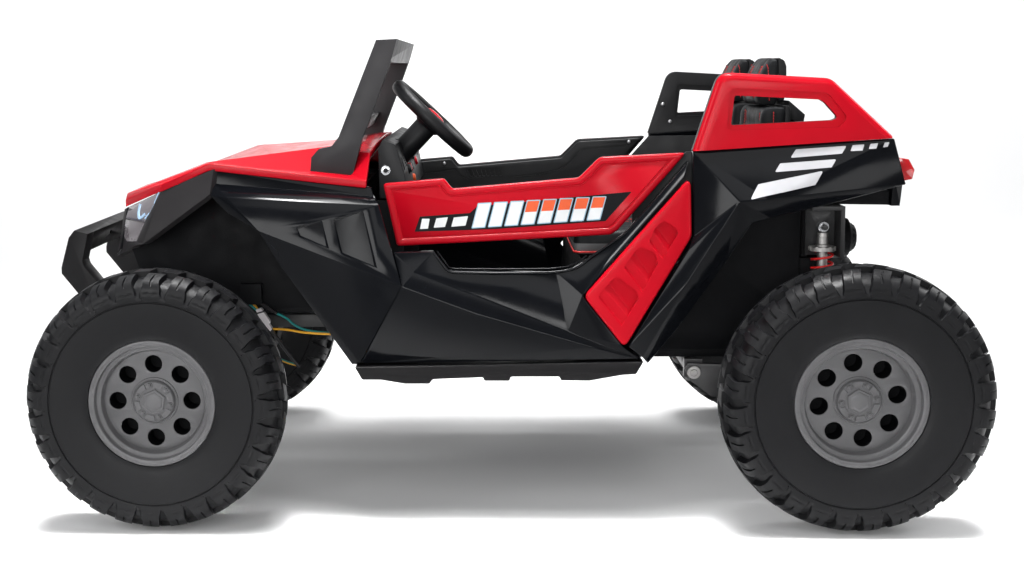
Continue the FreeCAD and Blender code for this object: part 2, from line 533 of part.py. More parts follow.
# ---- wiring and rear caps ---------------------------------------------------------------------------
front_wiring = Part.makeCompound([max(s.cut(OUT["front_liner"]).cut(OUT["front_frame"]).Solids, key=lambda a: a.Volume)
                                  for s in front_wiring.Solids])
add("front_wiring", front_wiring)
cap = fuse(cyl((190, 477.2, 418), (0, 1, 0), 33, 62), cyl((190, 539, 418), (0, 1, 0), 30, 10),
           Part.makeCone(27, 16, 12, V(190, 549, 418), V(0, 1, 0)))
cap = max(cap.cut(OUT["seat_base"]).Solids, key=lambda a: a.Volume)
pair("rear_caps", cap)

# ---- pedal ---------------------------------------------------------------------------------------
add("pedal", ext_x([(-196, 262), (-188, 262), (-206, 318), (-214, 318)], 168, 212))

# ---- export --------------------------------------------------------------------------------------
os.makedirs("parts", exist_ok=True)
for name, shape in OUT.items():
    s = shape.copy()
    s.translate(V(0, DY, 0))
    if not s.isValid():
        print("INVALID", name)
    if len(s.Solids) < 1:
        print("NO SOLID", name)
    s.exportStep("parts/%s.step" % name)
print("nodes", len(OUT))
tot = 0
bb_all = None
for n, s in OUT.items():
    tot += s.Volume
    b = s.BoundBox
    if bb_all is None:
        bb_all = [b.XMin, b.XMax, b.YMin, b.YMax, b.ZMin, b.ZMax]
    else:
        bb_all = [min(bb_all[0], b.XMin), max(bb_all[1], b.XMax), min(bb_all[2], b.YMin), max(bb_all[3], b.YMax),
                  min(bb_all[4], b.ZMin), max(bb_all[5], b.ZMax)]
print("volume l", round(tot / 1e6, 2), "bbox", [round(v, 2) for v in bb_all])
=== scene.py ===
import json
import math
import random

import bpy
import bmesh
from mathutils import Matrix, Vector, noise
from mathutils.bvhtree import BVHTree

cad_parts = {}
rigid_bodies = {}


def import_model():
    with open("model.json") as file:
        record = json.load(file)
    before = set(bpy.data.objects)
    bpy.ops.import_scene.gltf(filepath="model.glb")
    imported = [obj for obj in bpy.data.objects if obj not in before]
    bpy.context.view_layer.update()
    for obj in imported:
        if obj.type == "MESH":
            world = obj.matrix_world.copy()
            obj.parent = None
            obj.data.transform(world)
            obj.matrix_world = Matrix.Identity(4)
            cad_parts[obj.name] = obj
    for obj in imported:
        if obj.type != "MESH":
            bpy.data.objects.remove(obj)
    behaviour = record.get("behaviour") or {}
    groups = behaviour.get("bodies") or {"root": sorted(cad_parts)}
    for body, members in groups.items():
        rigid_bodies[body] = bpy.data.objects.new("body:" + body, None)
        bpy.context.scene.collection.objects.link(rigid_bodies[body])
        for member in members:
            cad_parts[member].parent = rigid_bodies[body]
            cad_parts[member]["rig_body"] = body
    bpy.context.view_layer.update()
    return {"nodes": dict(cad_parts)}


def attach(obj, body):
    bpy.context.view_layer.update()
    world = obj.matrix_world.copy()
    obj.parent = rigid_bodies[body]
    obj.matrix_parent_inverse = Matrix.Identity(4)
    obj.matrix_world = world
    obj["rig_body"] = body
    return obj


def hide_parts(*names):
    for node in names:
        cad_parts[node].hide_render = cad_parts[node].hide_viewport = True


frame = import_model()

random.seed(7)

DY = 3.85          # mm, shift between the part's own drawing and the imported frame
WB2 = 523.3
TRACK2 = 372.0
HUB_Z = 200.0
scene = bpy.context.scene


def M(x, y, z):
    """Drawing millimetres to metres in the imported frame."""
    return Vector((x / 1000.0, (y + DY) / 1000.0, z / 1000.0))


# ------------------------------------------------------------------ materials
class Mat:
    """Small helper round one node material."""

    def __init__(self, name, color, rough=0.5, metallic=0.0, spec=0.5, coat=0.0, coat_rough=0.1, ior=1.5):
        self.m = bpy.data.materials.new(name)
        self.m.use_nodes = True
        self.t = self.m.node_tree
        self.b = self.t.nodes["Principled BSDF"]
        self.b.inputs["Base Color"].default_value = (*color, 1)
        self.b.inputs["Roughness"].default_value = rough
        self.b.inputs["Metallic"].default_value = metallic
        self.b.inputs["Specular IOR Level"].default_value = spec
        self.b.inputs["Coat Weight"].default_value = coat
        self.b.inputs["Coat Roughness"].default_value = coat_rough
        self.b.inputs["IOR"].default_value = ior
        self.m.diffuse_color = (*color, 1)
        self.co = self.t.nodes.new("ShaderNodeTexCoord")
        self.h = None

    def noise(self, scale, detail=3.0, rough=0.5, stretch=None):
        n = self.t.nodes.new("ShaderNodeTexNoise")
        n.inputs["Scale"].default_value = scale
        n.inputs["Detail"].default_value = detail
        n.inputs["Roughness"].default_value = rough
        src = self.co.outputs["Object"]
        if stretch:
            mp = self.t.nodes.new("ShaderNodeMapping")
            mp.inputs["Scale"].default_value = stretch
            self.t.links.new(src, mp.inputs["Vector"])
            src = mp.outputs["Vector"]
        self.t.links.new(src, n.inputs["Vector"])
        return n.outputs["Fac"]

    def voronoi(self, scale, feature="F1", out="Distance"):
        n = self.t.nodes.new("ShaderNodeTexVoronoi")
        n.inputs["Scale"].default_value = scale
        n.feature = feature
        self.t.links.new(self.co.outputs["Object"], n.inputs["Vector"])
        return n.outputs[out]

    def ramp(self, fac, stops):
        r = self.t.nodes.new("ShaderNodeValToRGB")
        e = r.color_ramp.elements
        while len(e) < len(stops):
            e.new(0.5)
        for i, (p, c) in enumerate(stops):
            e[i].position = p
            e[i].color = (*c, 1)
        self.t.links.new(fac, r.inputs["Fac"])
        return r.outputs["Color"]

    def remap(self, fac, lo, hi, a=0.0, b=1.0):
        r = self.t.nodes.new("ShaderNodeMapRange")
        r.inputs["From Min"].default_value = a
        r.inputs["From Max"].default_value = b
        r.inputs["To Min"].default_value = lo
        r.inputs["To Max"].default_value = hi
        self.t.links.new(fac, r.inputs["Value"])
        return r.outputs["Result"]

    def color_from(self, fac, stops):
        self.t.links.new(self.ramp(fac, stops), self.b.inputs["Base Color"])
        return self

    def rough_from(self, fac, lo, hi, a=0.3, b=0.7):
        self.t.links.new(self.remap(fac, lo, hi, a, b), self.b.inputs["Roughness"])
        return self

    def bump(self, fac, strength, dist=0.001):
        n = self.t.nodes.new("ShaderNodeBump")
        n.inputs["Strength"].default_value = strength
        n.inputs["Distance"].default_value = dist
        self.t.links.new(fac, n.inputs["Height"])
        if self.h is not None:
            self.t.links.new(self.h, n.inputs["Normal"])
        self.h = n.outputs["Normal"]
        self.t.links.new(self.h, self.b.inputs["Normal"])
        return self


def tint(c, k):
    return tuple(max(0.0, min(1.0, v * k)) for v in c)


def gloss(name, c, rough=(0.14, 0.24), coat=0.0, spec=0.2):
    m = Mat(name, c, 0.2, spec=spec, coat=coat, coat_rough=0.06)
    big = m.noise(5.0, 3.0)
    m.color_from(big, [(0.3, tint(c, 0.9)), (0.7, tint(c, 1.08))])
    m.rough_from(m.noise(22.0, 5.0, 0.6), rough[0], rough[1])
    m.bump(m.noise(14.0, 2.0), 0.10, 0.0012)
    m.bump(m.noise(420.0, 2.0), 0.035, 0.0004)
    return m.m


def matt(name, c, rough=(0.48, 0.62), grain=650.0, strength=0.16, spec=0.45):
    m = Mat(name, c, 0.5, spec=spec)
    m.color_from(m.noise(9.0, 4.0), [(0.3, tint(c, 0.85)), (0.7, tint(c, 1.18))])
    m.rough_from(m.noise(35.0, 4.0), rough[0], rough[1])
    m.bump(m.noise(12.0, 2.0), 0.08, 0.001)
    m.bump(m.voronoi(grain), strength, 0.0004)
    m.bump(m.noise(grain * 1.7, 2.0), strength, 0.0003)
    return m.m


RED = gloss("red_gloss", (0.46, 0.0032, 0.012), (0.17, 0.27), 0.0, 0.13)
BLACK = gloss("black_gloss", (0.0034, 0.0038, 0.0050), (0.10, 0.17), 0.0, 0.16)
BLACK_SATIN = matt("black_matt", (0.0060, 0.0062, 0.0072), (0.38, 0.50), 700.0, 0.12, 0.26)
POST = matt("post_satin", (0.0175, 0.0162, 0.0182), (0.36, 0.48), 700.0, 0.12, 0.30)
LINER = matt("liner_black", (0.0030, 0.0032, 0.0040), (0.50, 0.66), 500.0, 0.2, 0.11)
FASCIA = matt("fascia_grey", (0.0125, 0.0110, 0.0122), (0.42, 0.55), 600.0, 0.18, 0.22)
BUMPER = matt("bumper_black", (0.0052, 0.0048, 0.0054), (0.40, 0.52), 600.0, 0.18, 0.18)
WHITE_STRIPE = matt("stripe_white", (0.78, 0.79, 0.80), (0.3, 0.38), 900.0, 0.05)
GREY_STRIPE = matt("stripe_grey", (0.50, 0.50, 0.52), (0.3, 0.38), 900.0, 0.05)
ORANGE_STRIPE = matt("stripe_orange", (0.80, 0.10, 0.015), (0.3, 0.38), 900.0, 0.05)
EDGE_BLUE = matt("stripe_edge", (0.33, 0.50, 0.62), (0.3, 0.38), 900.0, 0.05)
BAND = matt("stripe_black", (0.0065, 0.0070, 0.0085), (0.30, 0.40), 900.0, 0.05, 0.10)
WIRE_TEAL = matt("wire_teal", (0.0, 0.20, 0.19), (0.35, 0.45), 900.0, 0.05)
WIRE_AMBER = matt("wire_amber", (0.75, 0.36, 0.01), (0.35, 0.45), 900.0, 0.05)
PLUG_WHITE = matt("plug_white", (0.62, 0.58, 0.60), (0.4, 0.5), 900.0, 0.08)
SPRING_RED = gloss("spring_red", (0.55, 0.012, 0.012), (0.25, 0.35), 0.2)


def rubber():
    m = Mat("tyre_rubber", (0.0050, 0.0051, 0.0060), 0.55, spec=0.21)
    big = m.noise(7.0, 4.0, 0.6)
    m.color_from(big, [(0.25, (0.0036, 0.0037, 0.0046)), (0.6, (0.0054, 0.0055, 0.0064)), (0.85, (0.0085, 0.0085, 0.0094))])
    m.rough_from(m.noise(30.0, 5.0, 0.6), 0.36, 0.54)
    m.bump(m.noise(45.0, 4.0, 0.6), 0.10, 0.0008)
    m.bump(m.noise(700.0, 2.0), 0.22, 0.0004)
    return m.m


def rim_grey():
    m = Mat("rim_grey", (0.105, 0.104, 0.108), 0.42, metallic=0.25, spec=0.4)
    m.color_from(m.noise(10.0, 4.0), [(0.3, (0.094, 0.093, 0.096)), (0.7, (0.118, 0.117, 0.121))])
    m.rough_from(m.noise(60.0, 5.0), 0.38, 0.52)
    m.bump(m.noise(900.0, 2.0), 0.12, 0.0003)
    m.bump(m.noise(18.0, 2.0), 0.06, 0.0008)
    return m.m


def steel(name, c, rough=(0.28, 0.5), metallic=1.0):
    m = Mat(name, c, 0.35, metallic=metallic)
    m.color_from(m.noise(40.0, 5.0, 0.6), [(0.3, tint(c, 0.75)), (0.7, tint(c, 1.15))])
    m.rough_from(m.noise(70.0, 5.0, 0.6), rough[0], rough[1])
    m.bump(m.noise(260.0, 3.0, 0.6, (1, 1, 8)), 0.10, 0.0004)
    return m.m


def leather():
    m = Mat("seat_leather", (0.0062, 0.0068, 0.0078), 0.5, spec=0.15)
    m.color_from(m.noise(14.0, 4.0), [(0.3, (0.0065, 0.0072, 0.0082)), (0.75, (0.0110, 0.0118, 0.0130))])
    m.rough_from(m.noise(60.0, 4.0), 0.38, 0.55)
    m.bump(m.noise(24.0, 3.0), 0.12, 0.0015)
    m.bump(m.voronoi(520.0, "DISTANCE_TO_EDGE"), 0.45, 0.0005)
    m.bump(m.noise(900.0, 2.0), 0.15, 0.0003)
    return m.m


RUBBER = rubber()
RIM = rim_grey()
PAINTED = steel("frame_steel", (0.016, 0.016, 0.017), (0.35, 0.5), 0.0)
STEEL = steel("bare_steel", (0.52, 0.52, 0.53))
CHROME = steel("chrome", (0.72, 0.73, 0.75), (0.08, 0.22))
ALLOY = steel("shock_alloy", (0.42, 0.41, 0.40), (0.35, 0.55))
LEATHER = leather()
LEATHER_GREY = matt("seat_side_grey", (0.13, 0.13, 0.132), (0.45, 0.58), 520.0, 0.35)
LEATHER_DARK = matt("leather_seam", (0.008, 0.008, 0.009), (0.5, 0.6), 900.0, 0.1)
THREAD = matt("thread_red", (0.55, 0.02, 0.02), (0.5, 0.6), 1500.0, 0.3)


def glass_like(name, c, rough=0.05, trans=0.0, alpha=1.0):
    m = Mat(name, c, rough, coat=0.6, coat_rough=0.03)
    m.b.inputs["Transmission Weight"].default_value = trans
    m.rough_from(m.noise(30.0, 3.0), rough, rough + 0.08)
    m.bump(m.noise(20.0, 2.0), 0.05, 0.001)
    return m.m


LENS = glass_like("lamp_lens", (0.19, 0.175, 0.19), 0.12)
RED_LENS = glass_like("red_lens", (0.45, 0.006, 0.010), 0.08)
DRL = glass_like("lamp_blue_strip", (0.42, 0.62, 0.85), 0.12)
FOG = glass_like("fog_lens", (0.16, 0.145, 0.155), 0.22)
NAVY = glass_like("lamp_joint", (0.006, 0.010, 0.030), 0.2)
CAP_GREY = matt("cap_grey", (0.068, 0.063, 0.060), (0.5, 0.62), 420.0, 0.5)
COPPER = matt("liner_edge", (0.030, 0.029, 0.031), (0.4, 0.5), 600.0, 0.1)
SILVER = steel("lamp_silver", (0.62, 0.63, 0.66), (0.12, 0.28))


# ------------------------------------------------------------------ mesh helpers
def new_obj(name, bm_or_mesh, mat, body, replaces=(), smooth=35.0, bevel=0.0, seg=2, bevel_angle=28.0, weighted=True):
    if isinstance(bm_or_mesh, bmesh.types.BMesh):
        bm = bm_or_mesh
    else:
        bm = bmesh.new()
        bm.from_mesh(bm_or_mesh)
    me = bpy.data.meshes.new(name)
    for f in bm.faces:
        f.smooth = True
    if smooth is not None and not bevel:
        lim = math.radians(smooth)
        for e in bm.edges:
            e.smooth = len(e.link_faces) == 2 and e.calc_face_angle(4.0) < lim
    bm.to_mesh(me)
    bm.free()
    ob = bpy.data.objects.new(name, me)
    scene.collection.objects.link(ob)
    mats = mat if isinstance(mat, (list, tuple)) else [mat]
    for m in mats:
        me.materials.append(m)
    if bevel:
        b = ob.modifiers.new("bevel", "BEVEL")
        b.width = bevel
        b.segments = seg
        b.limit_method = "ANGLE"
        b.angle_limit = math.radians(bevel_angle)
        b.harden_normals = True
        b.use_clamp_overlap = True
    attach(ob, body)
    if replaces:
        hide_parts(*replaces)
    return ob


def node_bm(node):
    """A cleaned copy of a CAD node's mesh."""
    bm = bmesh.new()
    bm.from_mesh(frame["nodes"][node].data)
    bmesh.ops.remove_doubles(bm, verts=bm.verts, dist=2e-5)
    bmesh.ops.dissolve_limit(bm, angle_limit=math.radians(0.6), verts=bm.verts, edges=bm.edges)
    bmesh.ops.dissolve_degenerate(bm, dist=1e-5, edges=bm.edges)
    bmesh.ops.recalc_face_normals(bm, faces=bm.faces)
    return bm


BODY_OF = {n: o.get("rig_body") for n, o in frame["nodes"].items()}


def dress(node, mat, bevel=0.0012, seg=2, angle=28.0, name=None):
    """Stands a bevelled copy in for a CAD node."""
    return new_obj(name or node + "_skin", node_bm(node), mat, BODY_OF[node], (node,), bevel=bevel, seg=seg, bevel_angle=angle)


# ------------------------------------------------------------------ first dressing
todo = {
    "hood": (RED, "red_gloss", 0.0016), 
    "side_panels": (BLACK, "black_gloss", 0.0016), "rear_quarters": (BLACK, "black_gloss", 0.0016),
    "tail_panel": (BLACK, "black_gloss", 0.002),
    "dashboard": (BLACK_SATIN, "black_gloss", 0.003), "front_fascia": (FASCIA, "fascia_grey", 0.0012),
    "side_steps": (BUMPER, "fascia_grey", 0.002), "bull_bar": (BUMPER, "fascia_grey", 0.003),
    "front_grille": (BLACK_SATIN, "black_matt", 0.001),
    "headlights": (LENS, "lamp_lens", 0.0008), "fog_lamps": (FOG, "lamp_silver", 0.0008), "tail_lamps": (RED_LENS, "red_lens", 0.001),
    "front_liner": (LINER, "black_matt", 0.002), "rear_wheel_wells": (LINER, "black_matt", 0.002),
    "floor_tub": (LINER, "black_matt", 0.002), "seat_base": (LINER, "black_matt", 0.002), "battery": (FASCIA, "battery_case", 0.002),
    "rear_bulkhead": (BLACK_SATIN, "black_matt", 0.002), "cargo_bed": (LINER, "black_matt", 0.002),
    "front_frame": (PAINTED, "frame_steel", 0.0015), "front_axle": (PAINTED, "frame_steel", 0.001),
    "knuckle_left": (STEEL, "bare_steel", 0.0006), "knuckle_right": (STEEL, "bare_steel", 0.0006), "tie_rod": (STEEL, "bare_steel", 0.0004),
    "swing_arm": (PAINTED, "frame_steel", 0.0008), "steel_brackets": (PAINTED, "frame_steel", 0.0006),
    "rear_axle": (STEEL, "bare_steel", 0.0004), "gearboxes": (LINER, "black_matt", 0.0015),
    "steering_column": (BLACK_SATIN, "black_matt", 0.0006),
    "rear_caps": (LINER, "black_matt", 0.001), "pedal": (BLACK_SATIN, "black_matt", 0.0015),
}
FACETED = ("hood", "side_panels", "rear_quarters", "front_fascia", "tail_panel")
for node, (m, slot, bev) in todo.items():
    dress(node, m, bev, 2, 6.0 if node in FACETED else 28.0)

# ------------------------------------------------------------------ wheels
def lathe(bm, prof, n=96, mat=0, closed=False, phase=0.0):
    """Turns a profile of (along, radius) round the X axis."""
    rings = []
    for a, r in prof:
        if r < 1e-6:
            rings.append([bm.verts.new((a, 0, 0))])
        else:
            rings.append([bm.verts.new((a, r * math.sin(2 * math.pi * i / n + phase), r * math.cos(2 * math.pi * i / n + phase))) for i in range(n)])
    pairs = list(zip(rings, rings[1:]))
    if closed:
        pairs.append((rings[-1], rings[0]))
    for p, q in pairs:
        for i in range(n):
            j = (i + 1) % n
            if len(p) == 1:
                f = bm.faces.new((p[0], q[j], q[i]))
            elif len(q) == 1:
                f = bm.faces.new((p[i], p[j], q[0]))
            else:
                f = bm.faces.new((p[i], p[j], q[j], q[i]))
            f.material_index = mat


LUGS = 28
TYRE_ROWS = [
    # along, radius, gap depth, kind (s side, l shoulder lug, g groove, c centre block)
    (42.0, 96.9, 0, "s"), (45.2, 97.4, 0, "s"), (47.0, 100.5, 0, "s"), (49.0, 108, 0, "s"), (50.8, 120, 0, "s"), (52.1, 133, 0, "s"),
    (52.9, 144, 0, "s"), (53.2, 152.2, 0, "s"), (53.2, 153.6, 0, "s"), (51.6, 154.6, 0, "s"), (51.6, 155.6, 0, "s"), (53.3, 156.6, 0, "s"),
    (53.7, 159.5, 0, "s"), (53.9, 162.4, 0.5, "l"), (54.0, 164.6, 1.8, "l"), (54.0, 166.4, 2.8, "m"), (54.0, 167.4, 3.3, "m"),
    (53.9, 169.6, 4.3, "m"), (53.8, 170.6, 4.7, "m"), (53.5, 173.2, 5.8, "l"), (53.0, 176.0, 6.8, "l"), (52.0, 179.2, 7.6, "l"), (50.4, 182.2, 8.2, "e"),
    (48.2, 185.2, 8.6, "e"), (45.2, 188.0, 8.8, "e"), (41.4, 190.7, 8.8, "e"), (37.0, 192.9, 8.8, "e"), (32.0, 194.9, 8.6, "l"), (26.6, 196.3, 8.4, "l"),
    (25.2, 196.7, 8.4, "g"), (20.4, 197.6, 8.4, "g"), (19.0, 197.9, 8.4, "c"), (12.0, 199.1, 8.4, "c"), (3.0, 199.9, 8.4, "c"), (1.8, 200.0, 8.4, "g")]
TYRE_COLS = [(0.0, "b"), (0.035, "t"), (0.10, "t"), (0.20, "n"), (0.285, "n"), (0.300, "s"), (0.345, "s"), (0.360, "n"), (0.45, "n"), (0.545, "t"),
             (0.61, "t"), (0.655, "b"), (0.74, "b"), (0.83, "b"), (0.92, "b")]


def tyre_bm(phase):
    bm = bmesh.new()
    n = len(TYRE_ROWS)
    nrm = []
    for i in range(n):
        a0, r0 = TYRE_ROWS[max(i - 1, 0)][:2]
        a1, r1 = TYRE_ROWS[min(i + 1, n - 1)][:2]
        d = Vector((a1 - a0, r1 - r0)).normalized()
        nrm.append(Vector((d.y, -d.x)))
    rows = []
    for side in (1, -1):
        order = range(n) if side == 1 else range(n - 1, -1, -1)
        for i in order:
            a, r, dep, kind = TYRE_ROWS[i]
            nv = nrm[i]
            shift = 0.0
            if a < 44 and r > 180:
                shift = 0.12 * min(1.0, (44 - a) / 18.0)
            if kind == "c" or i >= n - 5 and kind == "g" and a < 22:
                shift = 0.50 + 0.22 * (1 - min(a, 20.0) / 20.0)
            if side == -1:
                shift += 0.5
            ring = []
            for k in range(LUGS):
                for t, lab in TYRE_COLS:
                    d = 0.0
                    if kind == "g":
                        d = dep
                    elif kind in "lmec":
                        if lab == "b":
                            d = dep
                        elif lab == "s" and kind == "e":
                            d = min(dep, 2.6)
                        elif lab in "ns" and kind == "m":
                            d = -0.0 if TYRE_ROWS[i][1] in (166.4, 170.6) else 0.9
                    tt = t
                    if lab in "bt" and kind in "lme" and r < 190:
                        # the lug is a little wider at its foot, the gap runs out to a point
                        mid = 0.33
                        wide = 1.0 + 0.42 * min(1.0, max(0.0, (186 - r) / 24.0))
                        tt = mid + (t - mid) * wide if t < 0.64 else 1.0 - (1.0 - t) * (1.0 - (mid + (0.655 - mid) * wide)) / 0.345 if t > 0.66 else mid + (0.655 - mid) * wide
                    th = 2 * math.pi * (k + tt - 0.33 + shift) / LUGS + phase
                    th += 0.0022 * math.sin(k * 2.4 + i)
                    aa = a - nv.x * d
                    rr = r - nv.y * d
                    ring.append(bm.verts.new((side * aa, rr * math.sin(th), rr * math.cos(th))))
            rows.append(ring)
    m = len(rows[0])
    for p, q in zip(rows, rows[1:]):
        for j in range(m):
            k = (j + 1) % m
            bm.faces.new((p[j], q[j], q[k], p[k]))
    # inner skin so that the tyre is closed where the rim holds it
    p, q = rows[0], rows[-1]
    inner = []
    for a in (42.0, -42.0):
        inner.append([bm.verts.new((a, 95.5 * v.co.y / math.hypot(v.co.y, v.co.z), 95.5 * v.co.z / math.hypot(v.co.y, v.co.z))) for v in (p if a > 0 else q)])
    for j in range(m):
        k = (j + 1) % m
        bm.faces.new((p[k], inner[0][k], inner[0][j], p[j]))
        bm.faces.new((q[j], inner[1][j], inner[1][k], q[k]))
    # the two ends of the inner skin follow each side's own phase, so they are joined by two plain bands
    rim = [[bm.verts.new((a, 95.5 * math.sin(2 * math.pi * j / m), 95.5 * math.cos(2 * math.pi * j / m))) for j in range(m)] for a in (41.0, -41.0)]
    for ring, other in ((inner[0], rim[0]), (inner[1], rim[1])):
        st = min(range(m), key=lambda j: (other[j].co - ring[0].co).length)
        for j in range(m):
            k = (j + 1) % m
            bm.faces.new((ring[j], ring[k], other[(st + k) % m], other[(st + j) % m]))
    for j in range(m):
        k = (j + 1) % m
        bm.faces.new((rim[0][j], rim[0][k], rim[1][k], rim[1][j]))
    bmesh.ops.recalc_face_normals(bm, faces=bm.faces)
    return bm


def holed_disc(r_out, r_hole, pitch, count, a0, a1, phase, bevel=1.0):
    """Flat disc with round holes and softened edges, from a filled curve."""
    cu = bpy.data.curves.new("disc_tmp", "CURVE")
    cu.dimensions = "2D"
    cu.fill_mode = "BOTH"
    cu.extrude = (a1 - a0) / 2 - bevel
    cu.bevel_depth = bevel
    cu.bevel_resolution = 2
    cu.offset = -bevel

    def circle(x, y, r, n, rev):
        sp = cu.splines.new("POLY")
        sp.points.add(n - 1)
        for i in range(n):
            t = 2 * math.pi * i / n * (-1 if rev else 1)
            sp.points[i].co = (x + r * math.cos(t), y + r * math.sin(t), 0, 1)
        sp.use_cyclic_u = True
    circle(0, 0, r_out, 96, False)
    for i in range(count):
        t = 2 * math.pi * i / count + phase
        circle(pitch * math.sin(t), pitch * math.cos(t), r_hole, 32, True)
    ob = bpy.data.objects.new("disc_tmp", cu)
    scene.collection.objects.link(ob)
    me = bpy.data.meshes.new_from_object(ob.evaluated_get(bpy.context.evaluated_depsgraph_get()))
    bpy.data.objects.remove(ob)
    bm = bmesh.new()
    bm.from_mesh(me)
    for v in bm.verts:
        x, y, z = v.co
        v.co = Vector(((a0 + a1) / 2 + z, x, y))
    bmesh.ops.remove_doubles(bm, verts=bm.verts, dist=0.01)
    bmesh.ops.recalc_face_normals(bm, faces=bm.faces)
    return bm


def merge_bm(dst, src, mat=None):
    if mat is not None:
        for f in src.faces:
            f.material_index = mat
    me = bpy.data.meshes.new("tmp")
    src.to_mesh(me)
    src.free()
    dst.from_mesh(me)
    bpy.data.meshes.remove(me)


def prism(bm, pts, a0, a1, mat=0, top_in=0.0):
    """Prism along X from (y, z) points; top_in draws the outer end in for a chamfer."""
    cy = sum(p[0] for p in pts) / len(pts)
    cz = sum(p[1] for p in pts) / len(pts)
    lo = [bm.verts.new((a0, y, z)) for y, z in pts]
    mid = [bm.verts.new((a1 - top_in * 0.8, y, z)) for y, z in pts]
    rings = [lo, mid]
    if top_in:
        def inn(y, z):
            d = math.hypot(y - cy, z - cz)
            k = (d - top_in) / d
            return cy + (y - cy) * k, cz + (z - cz) * k
        rings.append([bm.verts.new((a1, *inn(y, z))) for y, z in pts])
    n = len(pts)
    for p, q in zip(rings, rings[1:]):
        for i in range(n):
            j = (i + 1) % n
            bm.faces.new((p[i], p[j], q[j], q[i])).material_index = mat
    bm.faces.new(rings[-1]).material_index = mat
    bm.faces.new(list(reversed(lo))).material_index = mat


def ngon(cy, cz, r, n, ph=0.0):
    return [(cy + r * math.sin(2 * math.pi * i / n + ph), cz + r * math.cos(2 * math.pi * i / n + ph)) for i in range(n)]


def rim_bm(hole_ph, bolt_ph, hex_ph):
    bm = bmesh.new()
    # barrel, lip and the two steps down to the disc
    lathe(bm, [(-45, 96.7), (-45, 90), (-43.5, 88.4), (-20, 86.0), (4, 84.5), (9.5, 84.0), (9.5, 76.5), (20.2, 76.5), (21.2, 76.8), (22.2, 77.6),
               (24.5, 78.2), (31.5, 79.2), (33.2, 80.0), (34.0, 81.4), (34.4, 85.6), (35.2, 86.6), (43.2, 87.2), (44.4, 87.7), (45.0, 88.8),
               (45.0, 94.6), (44.6, 96.0), (43.6, 96.7), (20, 96.7), (-20, 96.7)], 128, closed=True)
    merge_bm(bm, holed_disc(77.5, 13.2, 57.0, 8, 10.0, 21.0, hole_ph))
    # black liners down the eight holes: painted shade on the hole walls
    for i in range(8):
        t = 2 * math.pi * i / 8 + hole_ph
        tb = bmesh.new()
        lathe(tb, [(19.0, 13.15), (-14, 12.2), (-14, 14.2), (12.5, 14.8)], 32)
        for v in tb.verts:
            v.co.y += 57.0 * math.sin(t)
            v.co.z += 57.0 * math.cos(t)
        merge_bm(bm, tb, 1)
    # dark plate behind the holes: painted shade, a black disc that stands in for the shade seen through them
    lathe(bm, [(-12, 0), (-12, 84.0), (-15, 84.2), (-15, 0)], 64, mat=1)
    # centre cap
    lathe(bm, [(19, 36.5), (21.6, 36.4), (22.6, 35.6), (22.8, 34.2), (22.2, 33.2), (22.4, 32.4), (25.8, 31.6), (27.0, 30.6), (27.2, 29.0), (27.2, 0)], 64)
    for i in range(6):
        t = 2 * math.pi * (i + 0.5) / 6 + bolt_ph
        pts = []
        for k in range(7):
            q = t + math.radians(-17 + 34 * k / 6)
            pts.append((30.4 * math.sin(q), 30.4 * math.cos(q)))
        for k in range(4):
            q = t + math.radians(15 - 30 * k / 3)
            pts.append((21.5 * math.sin(q), 21.5 * math.cos(q)))
        prism(bm, pts, 26.5, 28.8, top_in=0.7)
        t = 2 * math.pi * i / 6 + bolt_ph
        cy, cz = 25.8 * math.sin(t), 25.8 * math.cos(t)
        prism(bm, ngon(cy, cz, 5.4, 24), 26.8, 28.2, top_in=0.5)
        prism(bm, ngon(cy, cz, 3.9, 6, t), 27.5, 31.2, top_in=0.7)
        prism(bm, ngon(cy, cz, 1.5, 12), 31.0, 31.9, top_in=0.5)
    prism(bm, ngon(0, 0, 19.2, 6, hex_ph), 26.5, 30.6, top_in=1.2)
    lathe(bm, [(30.4, 15.6), (31.3, 14.4), (32.2, 9.5), (32.5, 0)], 6, phase=hex_ph)
    for g in range(8):
        for k in (-10, 0, 10):
            t = math.radians(27 + 45 * g + k)
            cy, cz = 91.6 * math.sin(t), 91.6 * math.cos(t)
            prism(bm, ngon(cy, cz, 1.35, 10), 44.6, 45.0, top_in=0.3)
    bmesh.ops.recalc_face_normals(bm, faces=bm.faces)
    return bm


def place_wheel(tag, side):
    s = 1 if side == "left" else -1
    y = (-WB2 if tag == "front" else WB2)
    body = "wheel_%s_%s" % (tag, side)
    tb = tyre_bm(math.radians(2.3 if tag == "front" else 6.8))
    rb = rim_bm(math.radians(0 if tag == "front" else -8.7), math.radians(-15 if tag == "front" else 24), math.radians(8 if tag == "front" else -4))
    for b in (tb, rb):
        for v in b.verts:
            v.co = M(s * (TRACK2 + v.co.x), y + v.co.y, HUB_Z + v.co.z)
        bmesh.ops.recalc_face_normals(b, faces=b.faces)
    new_obj("tread_tyre_%s_%s" % (tag, side), tb, RUBBER, body, ("tyre_%s_%s" % (tag, side),), smooth=32)
    new_obj("dish_rim_%s_%s" % (tag, side), rb, [RIM, LINER], body, ("rim_%s_%s" % (tag, side),), smooth=32)


for tag in ("front", "rear"):
    for side in ("left", "right"):
        place_wheel(tag, side)

# ------------------------------------------------------------------ shape tools
SLOT_MATS = [bpy.data.materials.new("slot_%d" % i) for i in range(4)]


def temp_obj(bm):
    me = bpy.data.meshes.new("tmp_shape")
    bm.to_mesh(me)
    bm.free()
    for m in SLOT_MATS:
        me.materials.append(m)
    ob = bpy.data.objects.new("tmp_shape", me)
    scene.collection.objects.link(ob)
    return ob


